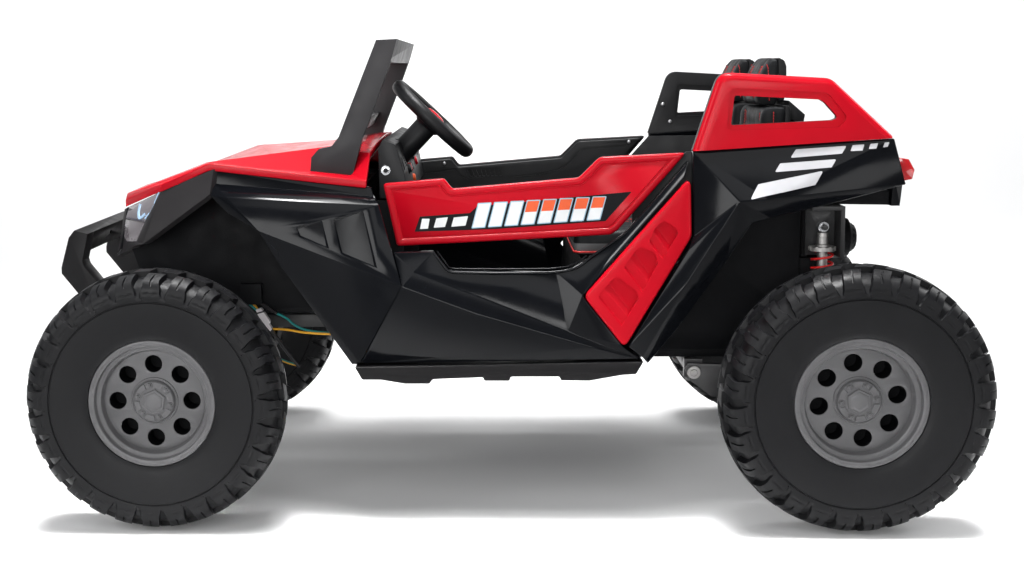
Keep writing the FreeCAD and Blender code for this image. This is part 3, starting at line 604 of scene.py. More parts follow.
def boolean(bm, cutter, op="DIFFERENCE"):
    a, b = temp_obj(bm), temp_obj(cutter)
    m = a.modifiers.new("cut", "BOOLEAN")
    m.operation = op
    m.solver = "EXACT"
    m.material_mode = "INDEX"
    m.object = b
    me = bpy.data.meshes.new_from_object(a.evaluated_get(bpy.context.evaluated_depsgraph_get()))
    bpy.data.objects.remove(a)
    bpy.data.objects.remove(b)
    out = bmesh.new()
    out.from_mesh(me)
    bpy.data.meshes.remove(me)
    bmesh.ops.remove_doubles(out, verts=out.verts, dist=2e-6)
    bmesh.ops.dissolve_degenerate(out, dist=1e-6, edges=out.edges)
    return out


def rounded(pts, r, seg=5):
    """Polygon with its corners rounded; r is one radius or one for each corner."""
    out = []
    n = len(pts)
    for i in range(n):
        p0, p1, p2 = Vector(pts[i - 1]), Vector(pts[i]), Vector(pts[(i + 1) % n])
        ri = r[i] if isinstance(r, (list, tuple)) else r
        a, b = p0 - p1, p2 - p1
        la, lb = a.length, b.length
        ang = a.angle(b) if la > 1e-6 and lb > 1e-6 else math.pi
        if ri <= 0 or ang > math.radians(174):
            out.append(tuple(p1))
            continue
        t = min(ri / math.tan(ang / 2), la * 0.48, lb * 0.48)
        pa, pb = p1 + a.normalized() * t, p1 + b.normalized() * t
        for k in range(seg + 1):
            u = k / seg
            out.append(tuple(pa * (1 - u) ** 2 + p1 * 2 * u * (1 - u) + pb * u * u))
    return out


def inset(pts, d):
    """Polygon drawn in by d, corners mitred."""
    n = len(pts)
    area = sum(pts[i][0] * pts[(i + 1) % n][1] - pts[(i + 1) % n][0] * pts[i][1] for i in range(n))
    sg = 1.0 if area > 0 else -1.0
    nr = []
    for i in range(n):
        e = (Vector(pts[(i + 1) % n]) - Vector(pts[i])).normalized()
        nr.append(Vector((-e.y, e.x)) * sg)
    out = []
    for i in range(n):
        n0, n1 = nr[i - 1], nr[i]
        out.append(tuple(Vector(pts[i]) + (n0 + n1) * (d / max(0.25, 1 + n0.dot(n1)))))
    return out


def inset_w(pts, ds):
    """Polygon drawn in by its own distance at each edge; edge i runs from point i to the next."""
    n = len(pts)
    area = sum(pts[i][0] * pts[(i + 1) % n][1] - pts[(i + 1) % n][0] * pts[i][1] for i in range(n))
    sg = 1.0 if area > 0 else -1.0
    lines = []
    for i in range(n):
        p, q = Vector(pts[i]), Vector(pts[(i + 1) % n])
        e = (q - p).normalized()
        lines.append((p + Vector((-e.y, e.x)) * sg * ds[i], e))
    out = []
    for i in range(n):
        (p0, e0), (p1, e1) = lines[i - 1], lines[i]
        den = e0.x * e1.y - e0.y * e1.x
        if abs(den) < 0.02:
            out.append(tuple((p0 + e0 * (Vector(pts[i]) - p0).dot(e0) + p1) / 2))
        else:
            d = p1 - p0
            out.append(tuple(p0 + e0 * ((d.x * e1.y - d.y * e1.x) / den)))
    return out


def rolled(poly, radii, profile, weights=None, seg=5):
    """Block across the vehicle whose outline is drawn in by (x, inset) steps; each corner keeps its centre."""
    n = len(poly)
    area = sum(poly[i][0] * poly[(i + 1) % n][1] - poly[(i + 1) % n][0] * poly[i][1] for i in range(n))
    w = weights or [1.0] * n
    conv = []
    for i in range(n):
        a, b, c = Vector(poly[i - 1]), Vector(poly[i]), Vector(poly[(i + 1) % n])
        conv.append(((b - a).x * (c - b).y - (b - a).y * (c - b).x) * area > 0)
    bm = bmesh.new()
    rows = []
    for x, d in profile:
        ring = rounded(inset_w(poly, [d * k for k in w]), [max(0.3, r - d if cv else r + d) for r, cv in zip(radii, conv)], seg)
        rows.append([bm.verts.new(M(x, y, z)) for y, z in ring])
    for a, b in zip(rows, rows[1:]):
        m = len(a)
        for i in range(m):
            j = (i + 1) % m
            bm.faces.new((a[i], a[j], b[j], b[i]))
    bm.faces.new(rows[0][::-1])
    bm.faces.new(rows[-1])
    bmesh.ops.recalc_face_normals(bm, faces=bm.faces)
    return bm


def yz(pts, x0, x1, mat=0):
    """Prism across the vehicle from (y, z) points, drawing millimetres."""
    bm = bmesh.new()
    a = [bm.verts.new(M(x0, y, z)) for y, z in pts]
    b = [bm.verts.new(M(x1, y, z)) for y, z in pts]
    n = len(pts)
    bm.faces.new(a).material_index = mat
    bm.faces.new(b[::-1]).material_index = mat
    for i in range(n):
        j = (i + 1) % n
        bm.faces.new((a[i], b[i], b[j], a[j])).material_index = mat
    bmesh.ops.recalc_face_normals(bm, faces=bm.faces)
    return bm


def mirrored(bm):
    out = bm.copy()
    for v in out.verts:
        v.co.x = -v.co.x
    bmesh.ops.reverse_faces(out, faces=out.faces)
    return out


def both_sides(bm):
    """The shape and its mirror image as one mesh."""
    other = mirrored(bm)
    merge_bm(bm, other)
    return bm


def half(bm, side=1):
    """Only the part of a mesh on one side of the middle plane."""
    out = bm.copy()
    bmesh.ops.delete(out, geom=[f for f in out.faces if f.calc_center_median().x * side < 0], context="FACES")
    bmesh.ops.delete(out, geom=[v for v in out.verts if not v.link_faces], context="VERTS")
    return out


def bevel_where(bm, test, offset, seg=4):
    es = [e for e in bm.edges if len(e.link_faces) == 2 and test(e)]
    if es:
        bmesh.ops.bevel(bm, geom=es, offset=offset, segments=seg, profile=0.5, affect="EDGES", clamp_overlap=True)
    return bm


def split_x(bm, x_mm):
    """Cuts along a plane across the vehicle on both sides."""
    for sg in (1, -1):
        bmesh.ops.bisect_plane(bm, geom=bm.verts[:] + bm.edges[:] + bm.faces[:], dist=1e-7, plane_co=(sg * x_mm / 1000.0, 0, 0), plane_no=(1, 0, 0))


def tree_of(bm):
    return BVHTree.FromBMesh(bm)


def decal(dst, tree, pts, lift=0.35, step=8.0, mat=0, side=1):
    """A thin sheet laid on a surface; pts are (y, z) in drawing millimetres, seen from that side."""
    bm = bmesh.new()
    vs = [bm.verts.new(Vector((0, (y + DY) / 1000.0, z / 1000.0))) for y, z in pts]
    bm.faces.new(vs)
    ys = [v.co.y for v in vs]
    zs = [v.co.z for v in vs]
    st = step / 1000.0
    for lo, hi, ax in ((min(ys), max(ys), 1), (min(zs), max(zs), 2)):
        k = math.floor(lo / st) + 1
        while k * st < hi:
            co = [0, 0, 0]
            no = [0, 0, 0]
            co[ax] = k * st
            no[ax] = 1
            bmesh.ops.bisect_plane(bm, geom=bm.verts[:] + bm.edges[:] + bm.faces[:], dist=1e-7, plane_co=co, plane_no=no)
            k += 1
    bmesh.ops.triangulate(bm, faces=bm.faces)
    for v in bm.verts:
        hit, nrm, idx, dist = tree.ray_cast(Vector((side * 0.6, v.co.y, v.co.z)), Vector((-side, 0, 0)))
        if hit is None:
            hit, nrm, idx, dist = tree.find_nearest(Vector((side * 0.34, v.co.y, v.co.z)))
        v.co = hit + nrm * (lift / 1000.0) * (1 if nrm.x * side > 0 else -1)
    for f in bm.faces:
        if f.normal.x * side < 0:
            f.normal_flip()
    bm.normal_update()
    ext = bmesh.ops.extrude_face_region(bm, geom=bm.faces[:])
    lower = [g for g in ext["geom"] if isinstance(g, bmesh.types.BMVert)]
    for v in lower:
        v.co.x -= side * (lift + 0.5) / 1000.0
    bmesh.ops.recalc_face_normals(bm, faces=bm.faces)
    merge_bm(dst, bm, mat)


def tube(dst, pts, r, n=10, mat=0, closed=False, caps=True):
    """Round bar through points in metres; r in metres."""
    m = len(pts)
    rings = []
    up = None
    for i, p in enumerate(pts):
        a = pts[(i - 1) % m] if closed or i > 0 else pts[i]
        b = pts[(i + 1) % m] if closed or i < m - 1 else pts[i]
        t = (Vector(b) - Vector(a)).normalized()
        if up is None:
            up = Vector((0, 0, 1)) if abs(t.z) < 0.9 else Vector((1, 0, 0))
        sx = t.cross(up).normalized()
        up = sx.cross(t).normalized()
        rr = r[i] if isinstance(r, (list, tuple)) else r
        rings.append([dst.verts.new(Vector(p) + (sx * math.cos(2 * math.pi * k / n) + up * math.sin(2 * math.pi * k / n)) * rr) for k in range(n)])
    seq = list(zip(rings, rings[1:]))
    if closed:
        seq.append((rings[-1], rings[0]))
    fs = []
    for p, q in seq:
        for k in range(n):
            j = (k + 1) % n
            fs.append(dst.faces.new((p[k], p[j], q[j], q[k])))
    if caps and not closed:
        fs.append(dst.faces.new(rings[0][::-1]))
        fs.append(dst.faces.new(rings[-1]))
    for f in fs:
        f.material_index = mat
    bmesh.ops.recalc_face_normals(dst, faces=fs)


def screw(dst, co, axis, r=0.0035, mat=0):
    """Pan-head screw, co at its seat and axis outward."""
    bm = bmesh.new()
    prof = [(0.0, 1.0), (0.18, 0.98), (0.42, 0.80), (0.52, 0.45), (0.54, 0.0)]
    lathe(bm, [(a * r, b * r) for a, b in prof], 20)
    q = Vector((1, 0, 0)).rotation_difference(Vector(axis).normalized())
    for v in bm.verts:
        v.co = q @ v.co + Vector(co)
    bmesh.ops.holes_fill(bm, edges=bm.edges)
    bmesh.ops.recalc_face_normals(bm, faces=bm.faces)
    merge_bm(dst, bm, mat)


def near_x(e, tol=0.25):
    """Whether an edge runs across the vehicle."""
    d = (e.verts[1].co - e.verts[0].co)
    return d.length > 1e-5 and abs(d.x) / d.length > 1 - tol


# ------------------------------------------------------------------ doors
DOOR = [(-178, 518), (-84, 525), (-72, 509), (122, 524), (153, 555), (213, 559), (272, 560), (277, 553), (181, 443), (170, 436), (-158, 421)]
TRIM = [(-172, 514), (-87, 521), (-75, 505), (124, 520), (155, 551), (213, 555), (268, 556), (271, 552), (178, 447), (168, 440), (-153, 425)]
DOOR2 = [(-178, 518), (-84, 525), (-72, 509), (122, 524), (153, 555), (283.3, 560.2), (181, 443), (170, 436), (-158, 421)]
TRIM2 = [(-172, 514), (-87, 521), (-75, 505), (124, 520), (155, 551), (274.5, 556.4), (178, 447), (168, 440), (-153, 425)]
DOOR_R = [5, 8, 9, 12, 16, 4, 10, 14, 6]


def door_piece(side):
    body = BODY_OF["door_left" if side > 0 else "door_right"]
    prof = [(278.4, 2.0), (279.4, 0.4), (281, 0), (286, 0), (289, 0), (290.6, 0.9), (291.6, 2.3), (292, 3.8), (292, 9.0), (291.7, 9.9), (290.0, 10.6), (289.6, 11.3),
            (289.8, 12.2), (290.9, 13.0)]
    bm = rolled(DOOR2, DOOR_R, prof)
    for f in bm.faces:
        if f.calc_center_median().x < 0.286:
            f.material_index = 1
    if side < 0:
        bm2 = mirrored(bm)
        bm.free()
        bm = bm2
    return new_obj("door_shell_%s" % ("left" if side > 0 else "right"), bm, [RED, BLACK_SATIN], body, ("door_left" if side > 0 else "door_right",), smooth=50)


def trim_piece(side):
    name = "door_trim_left" if side > 0 else "door_trim_right"
    bm = rolled(TRIM2, DOOR_R, [(268.0, 3.0), (268.4, 1.5), (269.3, 0.4), (270.6, 0), (278.0, 0)])
    # eight upright slots with a sunk field round them
    a, b, c, d = Vector((-58, 500.4)), Vector((10.2, 502)), Vector((11.8, 487.7)), Vector((-51.3, 486.6))
    field = [tuple(v) for v in (a + Vector((-4, 2)), b + Vector((5, 2)), c + Vector((5, -3)), d + Vector((-4, -3)))]
    bm = boolean(bm, yz(rounded(field, 4, 3), 260.0, 269.3))
    for i in range(8):
        u0, u1 = (i + 0.18) / 8, (i + 0.78) / 8
        q = [tuple(a.lerp(b, u0)), tuple(a.lerp(b, u1)), tuple(d.lerp(c, u1)), tuple(d.lerp(c, u0))]
        bm = boolean(bm, yz(rounded(q, 1.4, 2), 260.0, 275.0))
    # armrest shelf line and the long pocket line under it
    line1 = [(-140, 496), (-78, 503), (-66, 490), (-52, 482.5), (17, 486.5), (78, 491.5), (116, 500.5), (136, 512), (158, 538), (252, 545)]
    line2 = [(252, 541.6), (160, 534.6), (139, 509.5), (118, 497.4), (78, 488.6), (17, 483.6), (-53, 479.6), (-68, 487.6), (-80, 499.6), (-140, 492.6)]
    bm = boolean(bm, yz(line1 + line2, 260.0, 270.2))
    bm = boolean(bm, yz(rounded([(-120, 478), (60, 486), (150, 500), (185, 520), (205, 520), (160, 458), (-120, 445)], 10, 4), 260.0, 270.6))
    if side < 0:
        bm2 = mirrored(bm)
        bm.free()
        bm = bm2
    # screws
    sc = 1 if side > 0 else -1
    for y, z in ((-150, 506), (-141, 436), (158, 450), (250, 549), (-100, 512)):
        screw(bm, M(sc * 268.0, y, z), (-sc, 0, 0), 0.0036, 1)
    return new_obj(name.replace("trim", "card"), bm, [BLACK_SATIN, STEEL], BODY_OF[name], (name,), bevel=0.0007, seg=2, bevel_angle=40)


def door_label(side):
    """Black band with plain bars on the door's outer skin."""
    name = "door_left" if side > 0 else "door_right"
    tb = yz(DOOR, 280.0, 290.9)
    if side < 0:
        t2 = mirrored(tb)
        tb.free()
        tb = t2
    tree = tree_of(tb)
    tb.free()
    band, bars = bmesh.new(), bmesh.new()
    decal(band, tree, rounded([(-130.4, 443.1), (-121.8, 466.6), (-44.8, 471.4), (-33.8, 481.7), (201.5, 501.9), (162.2, 457.2), (-6.6, 446.2)], 1.2, 3), 0.25, 60.0, 0, side)
    for q in ([(-122, 447.2), (-118.5, 463.2), (-106.7, 463.1), (-109.6, 447.9)], [(-100.8, 449.2), (-96.5, 463.6), (-78.6, 465.3), (-83.4, 450.2)],
              [(-73.8, 450.4), (-69.6, 464.7), (-47.6, 466.7), (-51.8, 452.1)]):
        decal(bars, tree, rounded(q, 0.8, 2), 0.45, 60.0, 0, side)
    for i in range(8):
        q = [Vector((-40.9 + 25.1 * i, 449 + 1.5 * i)), Vector((-22.8 + 25.1 * i, 450.1 + 1.5 * i)), Vector((-13.3 + 25.0 * i, 486 + 1.12 * i)), Vector((-31.3 + 25.0 * i, 485.2 + 1.22 * i))]
        rim = rounded(inset([tuple(v) for v in q], -1.5), 1.6, 3)
        decal(bars, tree, rim, 0.42, 60.0, 2, side)
        face = [tuple(v) for v in q]
        if i < 3:
            decal(bars, tree, rounded(face, 0.9, 2), 0.56, 60.0, 0, side)
        else:
            cut0, cut1 = q[0].lerp(q[3], 0.52), q[1].lerp(q[2], 0.52)
            decal(bars, tree, rounded([tuple(q[0]), tuple(q[1]), tuple(cut1), tuple(cut0)], [0.9, 0.9, 0, 0], 2), 0.56, 60.0, 0, side)
            decal(bars, tree, rounded([tuple(cut0), tuple(cut1), tuple(q[2]), tuple(q[3])], [0, 0, 0.9, 0.9], 2), 0.56, 60.0, 1, side)
    tag = "left" if side > 0 else "right"
    new_obj("door_band_" + tag, band, BAND, BODY_OF[name], smooth=30)
    new_obj("door_bars_" + tag, bars, [WHITE_STRIPE, ORANGE_STRIPE, EDGE_BLUE], BODY_OF[name], smooth=30)


for sd in (1, -1):
    door_piece(sd)
    trim_piece(sd)
    door_label(sd)

# ------------------------------------------------------------------ quarter stripes
quarter = node_bm("rear_quarters")
qtree = tree_of(quarter)
quarter.free()
stripes = bmesh.new()
for sd in (1, -1):
    for q, rr in (([(431.5, 552.0), (440, 564.4), (513.4, 568.8), (506.4, 557.6)], 1.6), ([(408, 531.5), (416.4, 544.2), (498, 549.6), (490.5, 537.8)], 1.6),
                  ([(370.8, 492), (383.5, 514.2), (478, 532.8), (466.5, 512.6)], 1.6),
                  ([(518.8, 561.1), (522.4, 569.7), (539.2, 570.6), (536.1, 561.7)], 0.8), ([(545.1, 563.7), (548.2, 571.2), (559, 572.2), (556.1, 564.6)], 0.8),
                  ([(565.9, 566), (568.7, 573.1), (575.4, 573.8), (572.8, 567)], 0.8)):
        decal(stripes, qtree, rounded(q, rr, 4), 0.85, 4.0, 0, sd)
new_obj("quarter_stripes", stripes, GREY_STRIPE, BODY_OF["rear_quarters"], smooth=30)

# ------------------------------------------------------------------ sport bars
HOOP_O = [(288.5, 563.6), (325.9, 680.5), (489.8, 668.75), (584.6, 579.8)]
HOOP_I = [(344.5, 601.5), (349, 645.5), (474, 637.5), (481, 633), (499, 613), (498, 609.5), (492, 607)]
HOOP_LIP = [(338.3, 598), (341, 651), (346, 656.2), (480.3, 647.9), (487, 644), (512.3, 613), (509.9, 604.3), (502.4, 597), (342, 594.5)]


def hoop_bm():
    prof = [(296, 2.5), (296.9, 0.8), (299, 0), (311, 0)] + [(311 + 11 * math.sin(math.radians(15 * i)), 11 * (1 - math.cos(math.radians(15 * i)))) for i in range(1, 7)]
    bm = rolled(HOOP_O, [1, 23, 28, 3.4], prof, [1.6, 1, 1, 0], 7)
    lip = rounded(HOOP_LIP, [8, 6, 8, 14, 12, 8, 8, 10, 8], 5)
    bm = boolean(bm, yz(lip, 316.5, 330.0))
    win = rounded(HOOP_I, [3, 4, 8, 6, 5, 4, 6], 5)
    bm = boolean(bm, yz(win, 280.0, 330.0))
    lip2 = rounded(inset(HOOP_LIP, 1.0), [8, 6, 8, 14, 12, 8, 8, 10, 8], 5)
    bm = boolean(bm, yz(lip2, 290.0, 303.5))
    split_x(bm, 312.5)
    for f in bm.faces:
        f.material_index = 1 if abs(f.calc_center_median().x) < 0.3125 else 0
    for y, z in ((316, 618), (560, 588), (420, 660), (330, 585)):
        screw(bm, M(296.0, y, z), (-1, 0, 0), 0.0040, 2)
    return bm


new_obj("sport_hoops", both_sides(hoop_bm()), [RED, BLACK_SATIN, STEEL], BODY_OF["sport_bars"], ("sport_bars",), bevel=0.0016, seg=3, bevel_angle=40)

# ------------------------------------------------------------------ side vents
def vent_x(y, z):
    return 350 - 0.0962 * (y - 128) - 0.0765 * (z - 349)


VENT4 = [(286.2, 526.8), (288.0, 436.5), (187.3, 270.6), (125.7, 349.8)]
VENT_POLYS = [([(232, 449), (246, 462), (265, 449), (267, 441), (244, 403), (224, 430)], [9, 9, 7, 6, 2, 4]),
              ([(186, 392), (208, 423), (232, 414), (237, 398), (214, 354)], [5, 11, 9, 7, 2]),
              ([(147, 349), (173, 380), (204, 358), (208, 345), (182, 304)], [5, 11, 9, 6, 2])]


def vents_bm():
    prof = [(-15, 1.5), (-14.2, 0.4), (-13, 0), (-4, 0)] + [(-4 + 4 * math.sin(math.radians(15 * i)), 4 * (1 - math.cos(math.radians(15 * i)))) for i in range(1, 7)]
    bm = rolled(VENT4, [7.5, 25, 8, 12], prof)
    for q, rr in VENT_POLYS:
        bm = boolean(bm, yz(rounded(q, rr, 4), -6.7, 6.0))
    # a stepped ramp in each scoop, deep along its upper right edge
    for q, rr in VENT_POLYS:
        lowest = min(q, key=lambda p: p[1])
        left = min(q, key=lambda p: p[0])
        d = Vector((lowest[0] - left[0], lowest[1] - left[1])).normalized()      # along the lower left edge
        nrm = Vector((d.y, -d.x))
        if nrm.x > 0:
            nrm = -nrm                                                            # points down and to the front
        base = Vector(left)
        far = max((Vector(p) - base).dot(-nrm) for p in q)
        step = [(far + 3, 9.0), (far + 3, 6.6), (far * 0.50, 6.3), (far * 0.47, 6.0), (far * 0.335, 2.0), (far * 0.30, 1.7), (far * 0.27, 1.8), (far * 0.09, 3.0), (far * 0.05, 2.9), (-1.0, 0.2), (-1.0, 9.0)]
        w = bmesh.new()
        ends = []
        for k in (-60.0, 90.0):
            ends.append([w.verts.new(M(-dep, (base - nrm * t + d * k).x, (base - nrm * t + d * k).y)) for t, dep in step])
        n = len(step)
        w.faces.new(ends[0])
        w.faces.new(ends[1][::-1])
        for i in range(n):
            j = (i + 1) % n
            w.faces.new((ends[0][i], ends[1][i], ends[1][j], ends[0][j]))
        bmesh.ops.recalc_face_normals(w, faces=w.faces)
        w = boolean(w, yz(rounded(inset(q, -0.25), rr, 4), -12.0, 8.0), "INTERSECT")
        merge_bm(bm, w)
    for v in bm.verts:
        v.co.x += vent_x(v.co.y * 1000 - DY, v.co.z * 1000) / 1000.0
    return bm


new_obj("vent_scoops", both_sides(vents_bm()), RED, BODY_OF["side_vents"], ("side_vents",), bevel=0.0011, seg=3, bevel_angle=30)

# ------------------------------------------------------------------ front fenders with two pressed scoops
def fenders_bm():
    bm = node_bm("front_fenders")
    tree = tree_of(bm)
    # each pocket has sloped sides and a floor that runs out at its upper rear corner
    for q0 in ([(-308, 456.8), (-269.5, 465.4), (-258.8, 422.9), (-304.3, 441.1)], [(-251.7, 468), (-206.6, 479.1), (-185.6, 392.9), (-240.5, 414.5)]):
        tl, tr, br, bl = [Vector(c) for c in q0]
        low = [tl + Vector((1.0, -4.2)), tr + Vector((-0.5, -0.5)), br + Vector((-4.8, 3.2)), bl + Vector((1.6, 1.8))]
        # depth 2.8 mm at the upper front and lower rear corners, 0.3 mm at the upper rear one
        e1, e2 = tl - tr, br - tr
        det = e1.x * e2.y - e1.y * e2.x
        gy, gz = 2.5 * (e2.y - e1.y) / det, 2.5 * (e1.x - e2.x) / det
        hits = [tree.ray_cast(M(600, *c), Vector((-1, 0, 0)))[0] for c in (tl, tr, br)]
        pn = (hits[1] - hits[0]).cross(hits[2] - hits[0]).normalized()

        def on_panel(c, out):
            w0 = M(0, c.x, c.y)
            w0.x = hits[0].x - (pn.y * (w0.y - hits[0].y) + pn.z * (w0.z - hits[0].z)) / pn.x + out / 1000.0
            return w0
        # the sloped sides go on outwards past the panel, so that the cut leaves the outline where it is drawn
        rim = [on_panel(c + (c - d) * 0.6, 0.6 * (0.3 + gy * (d.x - tr.x) + gz * (d.y - tr.y)) + 0.02) for c, d in zip((tl, tr, br, bl), low)]
        bed = [on_panel(d, -(0.3 + gy * (d.x - tr.x) + gz * (d.y - tr.y))) for d in low]
        w = bmesh.new()
        lid = [w.verts.new(c + Vector((0.012, 0, 0))) for c in rim]
        top = [w.verts.new(c) for c in rim]
        bot = [w.verts.new(c) for c in bed]
        w.faces.new(lid)
        w.faces.new(bot[::-1])
        for ring, nxt in ((lid, top), (top, bot)):
            for i in range(4):
                j = (i + 1) % 4
                w.faces.new((ring[i], nxt[i], nxt[j], ring[j]))
        bmesh.ops.triangulate(w, faces=w.faces)
        bmesh.ops.recalc_face_normals(w, faces=w.faces)
        w2 = mirrored(w)
        bm = boolean(bm, w)
        bm = boolean(bm, w2)
    return bm


new_obj("fender_panels", fenders_bm(), BLACK, BODY_OF["front_fenders"], ("front_fenders",), bevel=0.0010, seg=2, bevel_angle=7)

# ------------------------------------------------------------------ side openings: rolled lip
def sill_bead():
    bm = bmesh.new()
    outer = [(325, -101, 416), (328.5, -88, 399), (331, -79, 387.5), (331.6, -70, 384.6), (333, -3.9, 383.2), (333, 76.7, 384.0), (332.4, 98, 386.0), (332, 114, 389.5), (330.6, 126, 396.5),
             (328.6, 137, 406.5), (321, 189, 440), (311, 240, 494), (305, 268, 524)]
    tube(bm, [M(x + 0.2, y, z + 0.4) for x, y, z in outer], 0.0019, 10)
    inner = [(300, -96, 414), (302, -83, 396), (303, -77.5, 388.0), (304, -68, 386.4), (304, -3.8, 385.4), (304, 77, 385.6), (304, 104.4, 388.6), (303, 120.5, 395.6), (302, 133, 405.5)]
    tube(bm, [M(x, y, z + 0.3) for x, y, z in inner], 0.0014, 8)
    return bm


new_obj("sill_beads", both_sides(sill_bead()), BLACK, BODY_OF["side_panels"], smooth=60)

# ------------------------------------------------------------------ padded seats
def cube_shell(bx, by, bz):
    """Closed box surface from three lists of break positions."""
    bm = bmesh.new()
    vs = {}

    def v(i, j, k):
        key = (i, j, k)
        if key not in vs:
            vs[key] = bm.verts.new((bx[i], by[j], bz[k]))
        return vs[key]
    nx, ny, nz = len(bx) - 1, len(by) - 1, len(bz) - 1
    for i in range(nx):
        for j in range(ny):
            for k in (0, nz):
                bm.faces.new((v(i, j, k), v(i + 1, j, k), v(i + 1, j + 1, k), v(i, j + 1, k)))
    for i in range(nx):
        for k in range(nz):
            for j in (0, ny):
                bm.faces.new((v(i, j, k), v(i + 1, j, k), v(i + 1, j, k + 1), v(i, j, k + 1)))
    for j in range(ny):
        for k in range(nz):
            for i in (0, nx):
                bm.faces.new((v(i, j, k), v(i, j + 1, k), v(i, j + 1, k + 1), v(i, j, k + 1)))
    bmesh.ops.recalc_face_normals(bm, faces=bm.faces)
    return bm


def breaks(marks, step):
    out = [marks[0]]
    for a, b in zip(marks, marks[1:]):
        n = max(1, round((b - a) / step))
        out += [a + (b - a) * (i + 1) / n for i in range(n)]
    return out


def round_box(bm, lo, hi, r):
    for v in bm.verts:
        q = Vector([min(max(v.co[i], lo[i] + r), hi[i] - r) for i in range(3)])
        d = v.co - q
        if d.length > 1e-9:
            v.co = q + d.normalized() * r
    return bm


def lerp_tab(tab, t):
    if t <= tab[0][0]:
        return tab[0][1]
    for (a, va), (b, vb) in zip(tab, tab[1:]):
        if t <= b:
            return va + (vb - va) * (t - a) / (b - a)
    return tab[-1][1]


class Pad:
    """One padded piece: its mesh in drawing millimetres, seam points pinned, blown up by the cloth solver."""

    def __init__(self, bm, pin, cap):
        self.cap = cap
        self.mat = [f.material_index for f in bm.faces]
        self.pins = [pin(v) for v in bm.verts]
        me = bpy.data.meshes.new("pad_tmp")
        for v in bm.verts:
            v.co = M(*v.co)
        self.rest = [v.co.copy() for v in bm.verts]
        bm.to_mesh(me)
        bm.free()
        self.ob = bpy.data.objects.new("pad_tmp", me)
        scene.collection.objects.link(self.ob)
        g = self.ob.vertex_groups.new(name="pin")
        for i, w in enumerate(self.pins):
            if w > 0:
                g.add([i], w, "REPLACE")
        c = self.ob.modifiers.new("cloth", "CLOTH")
        st = c.settings
        st.quality = 6
        st.mass = 0.25
        st.tension_stiffness = 9
        st.compression_stiffness = 9
        st.shear_stiffness = 4
        st.bending_stiffness = 0.6
        st.use_pressure = True
        st.uniform_pressure_force = 4.5
        st.effector_weights.gravity = 0
        st.vertex_group_mass = "pin"
        c.collision_settings.use_collision = False
        c.point_cache.frame_start = 1
        c.point_cache.frame_end = 22

    def result(self):
        me = bpy.data.meshes.new_from_object(self.ob.evaluated_get(bpy.context.evaluated_depsgraph_get()))
        bpy.data.objects.remove(self.ob)
        bm = bmesh.new()
        bm.from_mesh(me)
        bpy.data.meshes.remove(me)
        bm.normal_update()
        for i, v in enumerate(bm.verts):
            d = v.co - self.rest[i]
            if d.length > self.cap:
                d = d.normalized() * self.cap
            v.co = self.rest[i] + d
        return bm


def near(a, b, t=0.6):
    return abs(a - b) < t


# seat cushion: middle panel with sewn channels between two bolsters
CX = [27, 66, 194, 233]
CYM = [118, 150, 205, 260, 315, 368]


def cushion_pad():
    bx, by, bz = breaks(CX, 9), breaks(CYM, 9), breaks([396, 404, 434], 6)
    bm = cube_shell(bx, by, bz)
    round_box(bm, (27, 118, 396), (233, 368, 434), 9)
    for v in bm.verts:
        x, y, z = v.co
        if z > 424:
            side = max(0.0, (abs(x - 130) - 64) / 39.0)
            v.co.z = z + 5.0 * side - lerp_tab([(118, -1), (150, 2.0), (205, 0), (300, -2), (368, -3)], y)
            if cushion_pin(v) > 0.5:
                v.co.z -= 2.6
    return bm


def cushion_pin(v):
    x, y, z = v.co
    if z < 402:
        return 1.0
    if z > 418 and (near(x, 66, 1.6) or near(x, 194, 1.6)):
        return 1.0
    if z > 418 and 66 < x < 194 and any(near(y, q, 1.6) for q in CYM[1:-1]):
        return 0.9
    return 0.0


# backrest: bolsters at both sides, sewn channels between
BX = [27, 64, 196, 233]
BZM = [408, 452, 500, 548, 596, 624]
FRONT = [(404, 387), (470, 391), (540, 397), (600, 405), (626, 406)]
BACK = [(396, 431), (446, 438), (500, 441), (600, 443), (626, 444)]


def back_pad():
    bx, bz = breaks(BX, 9), breaks(BZM, 9)
    bm = cube_shell(bx, breaks([0, 0.55, 1.0], 0.25), bz)
    for v in bm.verts:
        x, t, z = v.co
        y0, y1 = lerp_tab(FRONT, z), lerp_tab(BACK, z)
        edge = max(0.0, (abs(x - 130) - 66) / 37.0)
        y = y0 + (y1 - y0) * t
        if t < 0.2:
            y += 3.0 - 5.0 * edge
            if near(x, 64, 1.6) or near(x, 196, 1.6):
                y += 3.2
            elif 64 < x < 196 and any(near(z, q, 1.6) for q in BZM[1:-1]):
                y += 2.6
        # rounded at the sides
        if edge > 0.99:
            y = y0 + (y1 - y0) * (0.12 + 0.80 * t)
        if z > 623.5 or z < 408.5:
            y = y0 + (y1 - y0) * (0.14 + 0.76 * t)
        v.co = Vector((x, y, z))
    return bm


def back_pin(v):
    x, y, z = v.co
    y0 = lerp_tab(FRONT, z)
    if z < 409 or y > lerp_tab(BACK, z) - 4:
        return 1.0
    if y < y0 + 8 and (near(x, 64, 1.6) or near(x, 196, 1.6)):
        return 1.0
    if y < y0 + 8 and 64 < x < 196 and any(near(z, q, 1.6) for q in BZM[1:-1]):
        return 0.85
    if (x < 28 or x > 232) and near(y, y0 + 0.52 * (lerp_tab(BACK, z) - y0), 5.0):
        return 0.9
    return 0.0


# headrest: its own rounded block with a side seam
HF = [(626.5, 403.5), (652, 402), (672, 408), (688, 415), (700, 423)]
HB = [(626.5, 436), (660, 437), (690, 436), (700, 434)]


